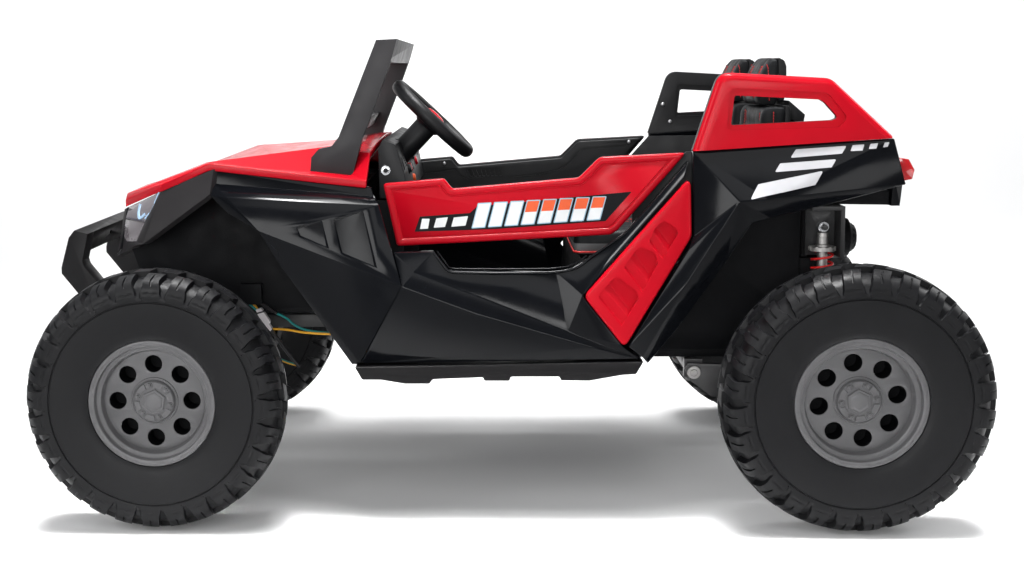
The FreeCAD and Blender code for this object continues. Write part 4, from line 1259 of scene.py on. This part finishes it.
def head_pad():
    bx, bz = breaks([58, 92, 168, 202], 8.5), breaks([627, 664, 700], 8.5)
    bm = cube_shell(bx, breaks([0, 0.5, 1.0], 0.25), bz)
    for v in bm.verts:
        x, t, z = v.co
        ed = max(0.0, (abs(x - 130) - 40) / 32.0)
        zz = z
        if z > 660:
            zz = 660 + (z - 660) * (1 - 0.10 * ed * ed)
        y0, y1 = lerp_tab(HF, z), lerp_tab(HB, z)
        k = 0.0
        if ed > 0.99:
            k = 0.13
        if z > 699.5:
            k = max(k, 0.16)
        if z < 627.5:
            k = max(k, 0.10)
        y = y0 + (y1 - y0) * (k + (1 - 2 * k) * t)
        if t < 0.2 and (near(x, 92, 1.6) or near(x, 168, 1.6)):
            y += 2.4
        v.co = Vector((x, y, zz))
    return bm


def head_pin(v):
    x, y, z = v.co
    y0, y1 = lerp_tab(HF, z), lerp_tab(HB, z)
    if y > y1 - 3.0 and not z > 697:
        return 1.0
    if z < 628:
        return 0.9
    if y < y0 + 7 and (near(x, 92, 1.6) or near(x, 168, 1.6)) and z < 690:
        return 1.0
    if (x < 59 or x > 201) and near(y, (y0 + y1) / 2, 4.0):
        return 0.9
    return 0.0


cushion = Pad(cushion_pad(), cushion_pin, 0.0085)
backrest = Pad(back_pad(), back_pin, 0.0075)
headrest = Pad(head_pad(), head_pin, 0.0065)
for fr in range(1, 21):
    scene.frame_set(fr)
pads = [q.result() for q in (cushion, backrest, headrest)]
scene.frame_set(1)


def side_hits(bm, pts, x_from, ax):
    """Points on a pad's side for (y, z) drawing points, seen along X."""
    tree = tree_of(bm)
    out = []
    for y, z in pts:
        hit, nrm, idx, dist = tree.ray_cast(M(x_from, y, z), Vector(ax))
        if hit is not None:
            out.append((hit, nrm))
    return out


def front_hits(bm, pts, y_from=300.0):
    tree = tree_of(bm)
    out = []
    for x, z in pts:
        hit, nrm, idx, dist = tree.ray_cast(M(x, y_from, z), Vector((0, 1, 0)))
        if hit is not None:
            out.append((hit, nrm))
    return out


def top_hits(bm, pts):
    tree = tree_of(bm)
    out = []
    for x, y in pts:
        hit, nrm, idx, dist = tree.ray_cast(M(x, y, 560), Vector((0, 0, -1)))
        if hit is not None:
            out.append((hit, nrm))
    return out


def stitches(dst, hits, pitch=0.0044, length=0.0030, r=0.00055, lift=0.0004):
    """Short raised threads along a seam."""
    acc = 0.0
    for (p, n), (q, m) in zip(hits, hits[1:]):
        seg = (q - p).length
        if seg < 1e-6 or seg > 0.03:
            continue
        t = (q - p) / seg
        while acc < seg:
            c_ = p + t * acc + n.lerp(m, acc / seg).normalized() * lift
            tube(dst, [c_ - t * length / 2 - n * 0.0006, c_ - t * length * 0.3, c_ + t * length * 0.3, c_ + t * length / 2 - n * 0.0006], r, 6)
            acc += pitch
        acc -= seg


def run(a, b, n=24):
    return [(a[0] + (b[0] - a[0]) * i / n, a[1] + (b[1] - a[1]) * i / n) for i in range(n + 1)]


def poly_run(pts, n=12):
    out = []
    for a, b in zip(pts, pts[1:]):
        out += run(a, b, n)[:-1]
    return out + [pts[-1]]


thread = bmesh.new()
bc, bb_, bh = pads
for x in (60, 70, 190, 200):
    stitches(thread, front_hits(bb_, run((x, 418), (x, 616), 40)))
    stitches(thread, top_hits(bc, run((x, 126), (x, 360), 40)))
for x in (88, 96, 164, 172):
    stitches(thread, front_hits(bh, run((x, 640), (x, 688), 14)))
for sx, ax in ((300, (-1, 0, 0)), (-60, (1, 0, 0))):
    stitches(thread, side_hits(bb_, poly_run([(412, 414), (418, 500), (421, 560), (422.5, 598), (422.6, 618)], 10), sx, ax))
    stitches(thread, side_hits(bh, poly_run([(421.3, 636), (419.1, 677), (417.8, 692)], 10), sx, ax))


def red_piping(bm):
    z = 399.0
    loop = rounded([(28.5, 119.5), (231.5, 119.5), (231.5, 366.5), (28.5, 366.5)], 10, 5)
    pts = [M(x, y, z + 3.6) for x, y in loop]
    tree = tree_of(bc)
    out = []
    for q in pts:
        hit, nrm, idx, dist = tree.find_nearest(q)
        out.append(hit + Vector((nrm.x, nrm.y, 0)).normalized() * 0.0006)
    tube(bm, out, 0.0016, 8, closed=True)


piping = bmesh.new()
red_piping(piping)
for f in bc.faces:
    if f.calc_center_median().z < 0.4165 and abs(f.normal.z) < 0.7:
        f.material_index = 1
# rear shells of the backs
shell = bmesh.new()
back_shell = yz(rounded([(434, 398), (438.5, 398), (448, 500), (449, 622), (446, 627), (441, 627), (440, 500)], [1, 2, 0, 3, 3, 2, 0], 4), 30.0, 230.0)
bevel_where(back_shell, lambda e: (all(v.co.x > 0.2299 for v in e.verts) or all(v.co.x < 0.0301 for v in e.verts)) and e.calc_face_angle(0) > 1.0, 0.0022, 3)
merge_bm(shell, back_shell)
head_shell = yz(rounded([(436.6, 634), (446, 634), (448.6, 676), (448.2, 687), (445.0, 696), (435.8, 700.5)], [1, 3, 6, 6, 7, 1], 5), 66.0, 194.0)
bevel_where(head_shell, lambda e: (all(v.co.x > 0.1939 for v in e.verts) or all(v.co.x < 0.0661 for v in e.verts)) and e.calc_face_angle(0) > 1.0, 0.0030, 4)
merge_bm(shell, head_shell)


def seat_set(side):
    tag = "left" if side > 0 else "right"

    def cp(b):
        return b.copy() if side > 0 else mirrored(b)
    obs = []
    o = new_obj("seat_pad_" + tag, cp(bc), [LEATHER, LEATHER_GREY], BODY_OF["seat_cushion_" + tag], ("seat_cushion_" + tag,), smooth=70)
    obs.append((o, 0.7))
    o = new_obj("back_pad_" + tag, cp(bb_), [LEATHER], BODY_OF["seat_back_" + tag], ("seat_back_" + tag,), smooth=70)
    obs.append((o, 0.65))
    o = new_obj("head_pad_" + tag, cp(bh), [LEATHER], BODY_OF["seat_back_" + tag], smooth=70)
    obs.append((o, 0.75))
    for o, fill in obs:
        sub = o.modifiers.new("sub", "SUBSURF")
        sub.levels = 1
        sub.render_levels = 1
    new_obj("seat_shell_" + tag, cp(shell), [BLACK_SATIN, STEEL], BODY_OF["seat_back_" + tag], smooth=30)
    new_obj("seat_thread_" + tag, cp(thread), THREAD, BODY_OF["seat_back_" + tag], smooth=60)
    new_obj("seat_piping_" + tag, cp(piping), THREAD, BODY_OF["seat_cushion_" + tag], smooth=60)


seat_set(1)
seat_set(-1)
for b in (bc, bb_, bh, shell, thread, piping):
    b.free()

# ------------------------------------------------------------------ steering wheel
def frame_on(axis, up=(1, 0, 0)):
    """Matrix whose X runs along axis and whose Y is as near to up as it can be."""
    x = Vector(axis).normalized()
    y = (Vector(up) - x * x.dot(Vector(up))).normalized()
    z = x.cross(y)
    return Matrix(((x.x, y.x, z.x), (x.y, y.y, z.y), (x.z, y.z, z.z)))


def steering_wheel_bm():
    R = frame_on((0, 0.693, 0.721))
    cen = M(130, -106, 611)
    ring = bmesh.new()
    nseg, nr = 112, 18
    rows = []
    for i in range(nseg):
        t = 2 * math.pi * i / nseg
        rr = []
        grip = 0.5 + 0.5 * math.cos(2 * t)                 # thicker at the two sides
        for j in range(nr):
            q = 2 * math.pi * j / nr
            a = 11.0 * math.sin(q)
            r = 77.0 + (9.2 + 1.3 * grip) * math.cos(q)
            if math.cos(q) < -0.2:
                r += 0.7 * max(0.0, math.sin(t * 16)) * (1 if grip > 0.55 else 0)      # finger ripples
            rr.append(ring.verts.new((a, r * math.cos(t), r * math.sin(t))))
        rows.append(rr)
    for i in range(nseg):
        p_, q_ = rows[i], rows[(i + 1) % nseg]
        for j in range(nr):
            k = (j + 1) % nr
            ring.faces.new((p_[j], q_[j], q_[k], p_[k]))
    # three spokes, each a tapered bar with a rib along its face
    for ang in (0.0, math.pi, 1.5 * math.pi):
        ca, sa = math.cos(ang), math.sin(ang)
        prof = [(24, 17, -7, 4.0), (40, 12.5, -6.5, 3.0), (56, 10.0, -6, 2.0), (70, 12.5, -7.0, 4.5), (75, 14, -7.5, 6)]
        sec = []
        for rad, w_, lo_, hi_ in prof:
            pts = rounded([(-w_, lo_), (w_, lo_), (w_ * 0.82, hi_), (w_ * 0.35, hi_ + 1.6), (-w_ * 0.35, hi_ + 1.6), (-w_ * 0.82, hi_)], 2.2, 3)
            sec.append([ring.verts.new((a_, rad * ca - u_ * sa, rad * sa + u_ * ca)) for u_, a_ in pts])
        for p_, q_ in zip(sec, sec[1:]):
            n = len(p_)
            for j in range(n):
                k = (j + 1) % n
                ring.faces.new((p_[j], p_[k], q_[k], q_[j]))
        ring.faces.new(sec[0][::-1])
        ring.faces.new(sec[-1])
    # hub dish and shroud under it
    lathe(ring, [(-18, 0), (-18, 20), (-14, 24), (-6, 29.5), (1, 30.5), (4.0, 29.6), (5.2, 27.5), (5.6, 24), (5.0, 20.5), (3.4, 19.6), (3.4, 0)], 64)
    # horn pad
    pad = bmesh.new()
    lathe(pad, [(3.2, 0), (3.2, 18.6), (5.0, 18.9), (7.4, 17.6), (9.2, 14.6), (10.3, 10.0), (10.8, 5.0), (11.0, 0)], 48)
    merge_bm(ring, pad, 1)
    for v in ring.verts:
        v.co = R @ (v.co / 1000.0) + cen
    bmesh.ops.recalc_face_normals(ring, faces=ring.faces)
    return ring


new_obj("wheel_grip", steering_wheel_bm(), [BLACK_SATIN, RED], BODY_OF["steering_wheel"], ("steering_wheel",), smooth=40)

# ------------------------------------------------------------------ windshield frame
def windshield_bm():
    bm = node_bm("windshield_frame")
    # channel down the rear face of each post
    for sg in (1, -1):
        cut = yz([(-158, 703), (-177, 657), (-205, 586), (-219, 590), (-190, 663), (-172, 708)], 246.2, 263.8, 1)
        if sg < 0:
            cut = mirrored(cut)
        bm = boolean(bm, cut)
    for f in bm.faces:
        c = f.calc_center_median()
        if f.material_index == 0 and f.normal.y > 0.6 and c.z > 0.700 and abs(c.x) > 0.240:
            f.material_index = 2
    return bm


wind = windshield_bm()
wtree = tree_of(wind)
new_obj("windshield_posts", wind, [POST, BLACK_SATIN, CAP_GREY], BODY_OF["windshield_frame"], ("windshield_frame",), bevel=0.0022, seg=3, bevel_angle=24)

# ------------------------------------------------------------------ lamp details
lamp_tree = None
lamps = node_bm("headlights")
merge_bm(lamps, node_bm("fog_lamps"))
lamp_tree = tree_of(lamps)
lamps.free()


def on_lamp(p, lift=0.0004):
    hit, nrm, idx, dist = lamp_tree.find_nearest(M(*p))
    out = Vector((0.57, -0.78, 0.27))
    if nrm.dot(out) < 0:
        nrm = -nrm
    return hit + nrm * lift


def strip_on(dst, pts, width, mat=0, thick=0.0011):
    """A thin raised bar laid along points on the lamp face."""
    n = Vector((0.57, -0.78, 0.27)).normalized()
    ps = [on_lamp(q) for q in pts]
    rows = []
    for i, q in enumerate(ps):
        a = ps[max(0, i - 1)]
        b = ps[min(len(ps) - 1, i + 1)]
        t = (b - a).normalized()
        side = t.cross(n).normalized() * (width / 2000.0)
        rows.append([dst.verts.new(q - side - n * 0.0006), dst.verts.new(q + side - n * 0.0006), dst.verts.new(q + side * 0.8 + n * thick), dst.verts.new(q - side * 0.8 + n * thick)])
    fs = []
    for a, b in zip(rows, rows[1:]):
        for k in range(4):
            j = (k + 1) % 4
            fs.append(dst.faces.new((a[k], a[j], b[j], b[k])))
    fs.append(dst.faces.new(rows[0][::-1]))
    fs.append(dst.faces.new(rows[-1]))
    for f in fs:
        f.material_index = mat
    bmesh.ops.recalc_face_normals(dst, faces=fs)


drl = bmesh.new()
strip_on(drl, [(240.2, -573.0, 486.5), (239.8, -573.2, 480.0), (240.6, -573.0, 472.0), (244.2, -570.8, 465.5), (249.0, -568.2, 463.4)], 6.2, 0)
strip_on(drl, [(249.0, -568.2, 463.4), (256.0, -562.9, 466.5), (262.0, -558.2, 471.4)], 5.2, 0)
strip_on(drl, [(283.6, -529.5, 507.0), (277.5, -539.5, 488.0), (272.0, -548.5, 474.0), (266.5, -555.5, 464.5)], 3.0, 0)
strip_on(drl, [(211.0, -598.6, 460.3), (225.0, -588.6, 460.4), (239.2, -578.4, 460.5), (253.0, -568.4, 460.6), (265.0, -559.6, 460.7)], 1.5, 1)
new_obj("lamp_strips", both_sides(drl), [DRL, NAVY], BODY_OF["headlights"], smooth=30)

# black gloss edge of the grille in front of the lamps
edge = bmesh.new()
n0 = [(203.0, -599.9, 476.0), (202.4, -606.0, 440.0), (201.6, -613.5, 410.0), (191.5, -622.0, 398.5)]
for p_, q_ in zip(n0, n0[1:]):
    tube(edge, [M(*p_), M(*q_)], 0.0024, 8)
new_obj("grille_edges", both_sides(edge), BLACK, BODY_OF["front_grille"], smooth=60)

# ------------------------------------------------------------------ dashboard details
dash = node_bm("dashboard")
dtree = tree_of(dash)
dash.free()
dd = bmesh.new()


def button(dst, tree, frm, to, r, h, mat, n=28):
    """Round knob seated where the ray from one point towards another meets the surface."""
    o = M(*frm)
    d = (M(*to) - o).normalized()
    hit, nrm, idx, dist = tree.ray_cast(o, d)
    if hit is None:
        return
    if nrm.dot(d) > 0:
        nrm = -nrm
    b = bmesh.new()
    lathe(b, [(-0.001, 0), (-0.001, r * 1.22), (0.0008, r * 1.22), (0.0014, r * 1.14), (0.0014, r), (h - 0.0012, r), (h - 0.0003, r * 0.9), (h, r * 0.6), (h, 0)], n)
    q = Vector((1, 0, 0)).rotation_difference(nrm)
    for v in b.verts:
        v.co = q @ v.co + hit
    bmesh.ops.recalc_face_normals(b, faces=b.faces)
    merge_bm(dst, b, mat)


button(dd, dtree, (400, -175.5, 536.5), (0, -175.5, 536.5), 0.0062, 0.0030, 1, 40)
button(dd, dtree, (400, -175.5, 536.5), (0, -175.5, 536.5), 0.0040, 0.0038, 0, 40)
for x, z, r, h, m in ((117, 531, 0.0072, 0.0052, 2), (150, 531, 0.0072, 0.0052, 0), (61, 510, 0.0060, 0.0042, 3), (84, 531, 0.0072, 0.0052, 0), (0, 548, 0.0115, 0.0060, 0), (-60, 531, 0.0072, 0.0052, 2)):
    button(dd, dtree, (x, 60, z + 14), (x, -150, z), r, h, m)
# screen bezel in the middle and vents at both sides of the dashboard
for x0, x1 in ((-44, 44), (178, 238), (-238, -178)):
    pts4 = [(x0, 553), (x1, 553), (x1, 525 if x0 == -44 else 536), (x0, 525 if x0 == -44 else 536)]
    ring = []
    for x, z in pts4:
        hit, nrm, idx, dist = dtree.ray_cast(M(x, 60, z + 20), (M(x, -150, z) - M(x, 60, z + 20)).normalized())
        ring.append(hit)
    for a, b in zip(ring, ring[1:] + ring[:1]):
        tube(dd, [a, b], 0.0016, 8, 0)
    if x0 != -44:
        for k in (0.25, 0.5, 0.75):
            tube(dd, [ring[0].lerp(ring[3], k), ring[1].lerp(ring[2], k)], 0.0012, 8, 0)
new_obj("dash_details", dd, [BLACK_SATIN, CHROME, RED, ORANGE_STRIPE], BODY_OF["dashboard"], smooth=40)

# ------------------------------------------------------------------ rear caps
lip = bmesh.new()
new_caps = bmesh.new()
for sg in (1,):
    cx, cz = 190.0, 418.0
    prof = [(0.0, 31.5), (1.5, 33.0), (58, 33.0), (60.5, 32.2), (61.5, 30.6), (62, 28.8), (66, 28.6), (68.2, 29.9), (70.5, 29.9), (72, 28.6), (72.4, 26.0), (75.5, 23.4), (77.5, 22.8), (79.5, 20.6), (81.5, 19.6), (83.6, 16.0),
            (84.0, 12.0), (84.0, 0.0)]
    b = bmesh.new()
    rows = []
    N = 96
    for a, r in prof:
        if r < 1e-6:
            rows.append([b.verts.new((0, a / 1000, 0))])
            continue
        ring = []
        for i in range(N):
            t = 2 * math.pi * i / N
            rr = r
            if 62 < a < 80:
                rr = r - 1.6 * (0.5 + 0.5 * math.cos(t * 12)) ** 3
            ring.append(b.verts.new((rr * math.cos(t) / 1000, a / 1000, rr * math.sin(t) / 1000)))
        rows.append(ring)
    for p_, q_ in zip(rows, rows[1:]):
        for i in range(N):
            j = (i + 1) % N
            if len(q_) == 1:
                b.faces.new((p_[i], p_[j], q_[0]))
            else:
                b.faces.new((p_[i], p_[j], q_[j], q_[i]))
    b.faces.new(rows[0])
    for v in b.verts:
        v.co = v.co + M(cx, 477.2, cz)
    bmesh.ops.recalc_face_normals(b, faces=b.faces)
    merge_bm(new_caps, b)
new_obj("cap_covers", both_sides(new_caps), LINER, BODY_OF["rear_caps"], ("rear_caps",), smooth=35)
lip.free()

# ------------------------------------------------------------------ swing arm pivots
piv = bmesh.new()
for sg in (1,):
    b = bmesh.new()
    lathe(b, [(0.0, 0), (0.0, 0.0098), (0.0010, 0.0104), (0.0022, 0.0104), (0.0030, 0.0096), (0.0030, 0.0060), (0.0022, 0.0056), (0.0022, 0)], 40)
    for v in b.verts:
        v.co = v.co + M(270.0, 302.0, 217.0)
    bmesh.ops.recalc_face_normals(b, faces=b.faces)
    merge_bm(piv, b, 0)
    hexa = bmesh.new()
    prism(hexa, [(y / 1000, z / 1000) for y, z in ngon(0, 0, 5.4, 6)], 0.0, 0.0044, 0, 0.0006)
    for v in hexa.verts:
        v.co = v.co + M(270.6, 302.0, 217.0)
    bmesh.ops.recalc_face_normals(hexa, faces=hexa.faces)
    merge_bm(piv, hexa, 0)
new_obj("pivot_bolts", both_sides(piv), ALLOY, BODY_OF["swing_arm"], smooth=35)

# ------------------------------------------------------------------ wheel-well wiring
def lead(name, pts, r, mat, replaces=()):
    cu = bpy.data.curves.new(name, "CURVE")
    cu.dimensions = "3D"
    cu.bevel_depth = r
    cu.bevel_resolution = 4
    cu.resolution_u = 14
    cu.use_fill_caps = True
    sp = cu.splines.new("NURBS")
    sp.points.add(len(pts) - 1)
    for p, q in zip(sp.points, pts):
        p.co = (*q, 1.0)
    sp.order_u = 3
    sp.use_endpoint_u = True
    cu.materials.append(mat)
    ob = bpy.data.objects.new(name, cu)
    scene.collection.objects.link(ob)
    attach(ob, BODY_OF["front_wiring"])
    if replaces:
        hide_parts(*replaces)
    return ob


WIRE_BLACK = matt("wire_sleeve", (0.010, 0.010, 0.011), (0.4, 0.5), 900.0, 0.1)
lead("lead_teal", [(0.2250, -0.35415, 0.3052), (0.2250, -0.33915, 0.2990), (0.2250, -0.32515, 0.2840), (0.2250, -0.29615, 0.2735), (0.2250, -0.23655, 0.2710)], 0.0019, WIRE_TEAL, ("front_wiring",))
lead("lead_amber", [(0.2300, -0.36265, 0.2803), (0.2300, -0.34215, 0.2810), (0.2300, -0.30415, 0.2725), (0.2300, -0.23655, 0.2710)], 0.0019, WIRE_AMBER)
lead("lead_sleeve", [(0.2355, -0.36415, 0.2820), (0.2355, -0.34915, 0.2610), (0.2355, -0.33715, 0.2430), (0.2345, -0.31815, 0.2190)], 0.00325, WIRE_BLACK)
lead("lead_low_teal", [(0.2345, -0.32015, 0.2226), (0.2270, -0.34515, 0.2271), (0.2030, -0.37615, 0.2391), (0.1700, -0.39215, 0.2571), (0.1600, -0.39815, 0.2701)], 0.0012, WIRE_TEAL)
lead("lead_low_amber", [(0.2345, -0.32015, 0.2204), (0.2270, -0.34515, 0.2249), (0.2030, -0.37615, 0.2369), (0.1700, -0.39215, 0.2549), (0.1600, -0.39815, 0.2679)], 0.0012, WIRE_AMBER)
lead("stub_amber", [(0.2300, -0.39215, 0.3230), (0.2300, -0.38765, 0.3175), (0.2300, -0.38315, 0.3120)], 0.0019, WIRE_AMBER)
lead("stub_teal", [(0.2345, -0.39715, 0.3230), (0.2345, -0.39065, 0.3170), (0.2345, -0.38415, 0.3110)], 0.0019, WIRE_TEAL)
plugs = yz([(-390.2, 313.5), (-381.2, 315.9), (-367.2, 293.8), (-368.9, 289.7), (-364.3, 281.5), (-367.6, 278.2), (-375.5, 288.1), (-382.7, 292.2)], 227, 239, 0)
rib = yz([(-388.6, 309.0), (-378.2, 311.8), (-376.6, 309.2), (-387.6, 306.2)], 226.6, 239.4, 1)
merge_bm(plugs, rib)
plug_b = yz([(-386, 322.5), (-377.5, 322.5), (-368.5, 316.3), (-355.8, 306.5), (-358.3, 304), (-371.8, 311.5), (-380, 316)], 222.5, 230.5, 1)
merge_bm(plugs, plug_b)
new_obj("lead_plugs", plugs, [PLUG_WHITE, FASCIA], BODY_OF["front_wiring"], bevel=0.0009, seg=2)

# ------------------------------------------------------------------ rear shocks
def shocks_bm():
    bm = bmesh.new()
    x0, y0 = 290.0, 489.0

    def at(b):
        """From a turned shape along X to one along Z at the shock."""
        for v in b.verts:
            v.co = Vector((x0 / 1000 + v.co.z, (y0 + DY) / 1000 + v.co.y, v.co.x))
        bmesh.ops.recalc_face_normals(b, faces=b.faces)
        return b

    def turn(prof, n, mat):
        b = bmesh.new()
        lathe(b, [(a / 1000, r / 1000) for a, r in prof], n)
        merge_bm(bm, at(b), mat)
    # body with two grooves, and the spring seats
    turn([(437.5, 0), (437.5, 6.5), (436.5, 8.3), (431, 8.5), (430.6, 7.9), (429.6, 7.9), (429.2, 8.5), (420, 8.5), (419, 7.6), (300, 7.6), (300, 0)], 40, 0)
    turn([(268.6, 0), (268.6, 7.8), (270.0, 8.9), (286, 8.9), (286.6, 19.0), (287.2, 20.2), (291.0, 20.4), (291.8, 19.4), (292.0, 14), (296, 13), (296, 0)], 48, 0)
    # castellated collar
    c = bmesh.new()
    lathe(c, [(0.4092, 0), (0.4092, 0.0130), (0.4092, 0.0190), (0.4098, 0.0203), (0.4152, 0.0203), (0.4159, 0.0194), (0.4160, 0.0110), (0.4185, 0.0100), (0.4185, 0)], 96)
    for k in range(12):
        a = math.radians(30 * k + 8)
        cut = bmesh.new()
        bmesh.ops.create_cube(cut, size=1.0)
        for v in cut.verts:
            v.co = Vector((0.4126 + v.co.x * 0.016, v.co.y * 0.0042, 0.0208 + v.co.z * 0.0046))
            v.co = Matrix.Rotation(a, 3, "X") @ v.co
        c = boolean(c, cut)
    merge_bm(bm, at(c), 0)
    # coil
    pts = []
    turns, n = 8.6, 20
    for i in range(int(turns * n) + 1):
        u = i / (turns * n)
        a = 2 * math.pi * turns * u
        z = 293.6 + (407.6 - 293.6) * u
        pts.append(Vector(((x0 + 15.6 * math.cos(a)) / 1000, (y0 + DY + 15.6 * math.sin(a)) / 1000, z / 1000)))
    tube(bm, pts, 0.0018, 10, 1)
    # eyes with their bushes
    for z, r, w_ in ((446.0, 8.5, 7.0), (262.0, 10.0, 8.0)):
        e = bmesh.new()
        lathe(e, [(-w_ / 1000, 0.0044), (-w_ / 1000, (r - 1.0) / 1000), (-(w_ - 1.0) / 1000, r / 1000), ((w_ - 1.0) / 1000, r / 1000), (w_ / 1000, (r - 1.0) / 1000), (w_ / 1000, 0.0044)], 40, closed=True)
        for v in e.verts:
            v.co = v.co + M(x0, y0, z)
        merge_bm(bm, e, 2)
    return bm


new_obj("shock_units", both_sides(shocks_bm()), [ALLOY, SPRING_RED, CHROME], BODY_OF["shocks"], ("shocks",), smooth=40)

# ------------------------------------------------------------------ stage
def stage_floor():
    bm = bmesh.new()
    prof = []
    for i in range(13):
        prof.append((8.0 - 12.0 * i / 12, 0.0))
    for i in range(1, 13):
        a = math.radians(90 * i / 12)
        prof.append((-4.0 - 1.6 * math.sin(a), 1.6 - 1.6 * math.cos(a)))
    prof.append((-5.6, 2.2))
    rows = []
    for x, z in prof:
        rows.append([bm.verts.new((x, y, z - 0.0004)) for y in (-14, -5, 0, 5, 14)])
    for a, b in zip(rows, rows[1:]):
        for i in range(4):
            bm.faces.new((a[i], a[i + 1], b[i + 1], b[i]))
    bmesh.ops.recalc_face_normals(bm, faces=bm.faces)
    me = bpy.data.meshes.new("studio_floor")
    for f in bm.faces:
        f.smooth = True
    bm.to_mesh(me)
    bm.free()
    ob = bpy.data.objects.new("studio_floor", me)
    scene.collection.objects.link(ob)
    m = Mat("studio_paper", (0.94, 0.94, 0.94), 0.8, spec=0.1)
    # the paper turns a little greyer in front of the view: painted shade, so that the black side panels reflect a
    # darker floor
    sep = m.t.nodes.new("ShaderNodeSeparateXYZ")
    m.t.links.new(m.co.outputs["Object"], sep.inputs["Vector"])
    m.color_from(m.remap(sep.outputs["X"], 0.0, 1.0, 0.58, 1.05), [(0.0, (0.945, 0.945, 0.947)), (1.0, (0.62, 0.62, 0.62))])
    me.materials.append(m.m)


stage_floor()


def area(name, loc, target, size, power, color=(1, 1, 1), size_y=None, spread=180.0):
    li = bpy.data.lights.new(name, "AREA")
    li.spread = math.radians(spread)
    li.energy = power
    li.color = color
    li.shape = "RECTANGLE"
    li.size = size
    li.size_y = size_y or size
    ob = bpy.data.objects.new(name, li)
    scene.collection.objects.link(ob)
    ob.location = loc
    ob.visible_camera = False
    d = Vector(target) - Vector(loc)
    ob.rotation_euler = d.to_track_quat("-Z", "Y").to_euler()
    return ob


area("key_top", (-0.2, -0.1, 3.1), (0.0, 0.0, 0.3), 2.0, 9, size_y=3.2, spread=110.0)
area("soft_front", (4.6, -1.45, 1.05), (0.0, -0.1, 0.5), 2.3, 69, size_y=1.5)
area("side_rear", (3.3, 2.9, 0.85), (0.0, 0.1, 0.45), 1.3, 13, size_y=1.1)
area("side_soft", (4.5, 0.55, 1.0), (0.0, 0.0, 0.45), 1.2, 20, size_y=0.5)
area("fill_camera", (2.7, 0.3, 2.55), (0.0, 0.0, 0.4), 3.4, 23, size_y=1.3)
area("floor_wash", (0.40, 0.0, 2.8), (0.40, 0.0, 0.0), 0.4, 8, size_y=4.2, spread=18.0)
area("front_left", (1.6, -3.4, 1.9), (0.0, -0.3, 0.4), 1.6, 34, size_y=1.4)
area("back_right", (-1.6, 3.0, 2.2), (0.0, 0.3, 0.4), 1.8, 34, size_y=1.4)
area("backdrop_wash", (-3.0, 0.0, 4.2), (-5.4, 0.0, 0.8), 9.0, 225, size_y=1.5)
area("floor_back", (-1.75, 0.0, 3.3), (-1.8, 0.0, 0.0), 0.9, 42, size_y=6.0, spread=60.0)

w = bpy.data.worlds.new("studio")
scene.world = w
w.use_nodes = True
bg = w.node_tree.nodes["Background"]
bg.inputs["Color"].default_value = (0.95, 0.97, 1.0, 1)
bg.inputs["Strength"].default_value = 0.20

# ------------------------------------------------------------------ camera
yaw, pitch, roll = math.radians(4.07), math.radians(8.29), math.radians(-0.92)
f = Vector((-math.cos(yaw) * math.cos(pitch), -math.sin(yaw) * math.cos(pitch), -math.sin(pitch)))
r = Vector((-math.sin(yaw), math.cos(yaw), 0))
u = r.cross(f)
c, s = math.cos(roll), math.sin(roll)
r2, u2 = c * r + s * u, -s * r + c * u
cam_data = bpy.data.cameras.new("camera")
cam = bpy.data.objects.new("camera", cam_data)
scene.collection.objects.link(cam)
cam.matrix_world = Matrix(((r2.x, u2.x, -f.x, 2.52394), (r2.y, u2.y, -f.y, -0.01317), (r2.z, u2.z, -f.z, 0.69113), (0, 0, 0, 1)))
cam_data.sensor_width = 36.0
cam_data.lens = 1455.30 * 36.0 / 1024.0
cam_data.shift_x = (512.0 - 385.97) / 1024.0
cam_data.shift_y = (282.01 - 282.0) / 1024.0
cam_data.clip_end = 100.0
scene.camera = cam
scene.view_settings.view_transform = "Standard"
scene.view_settings.look = "None"
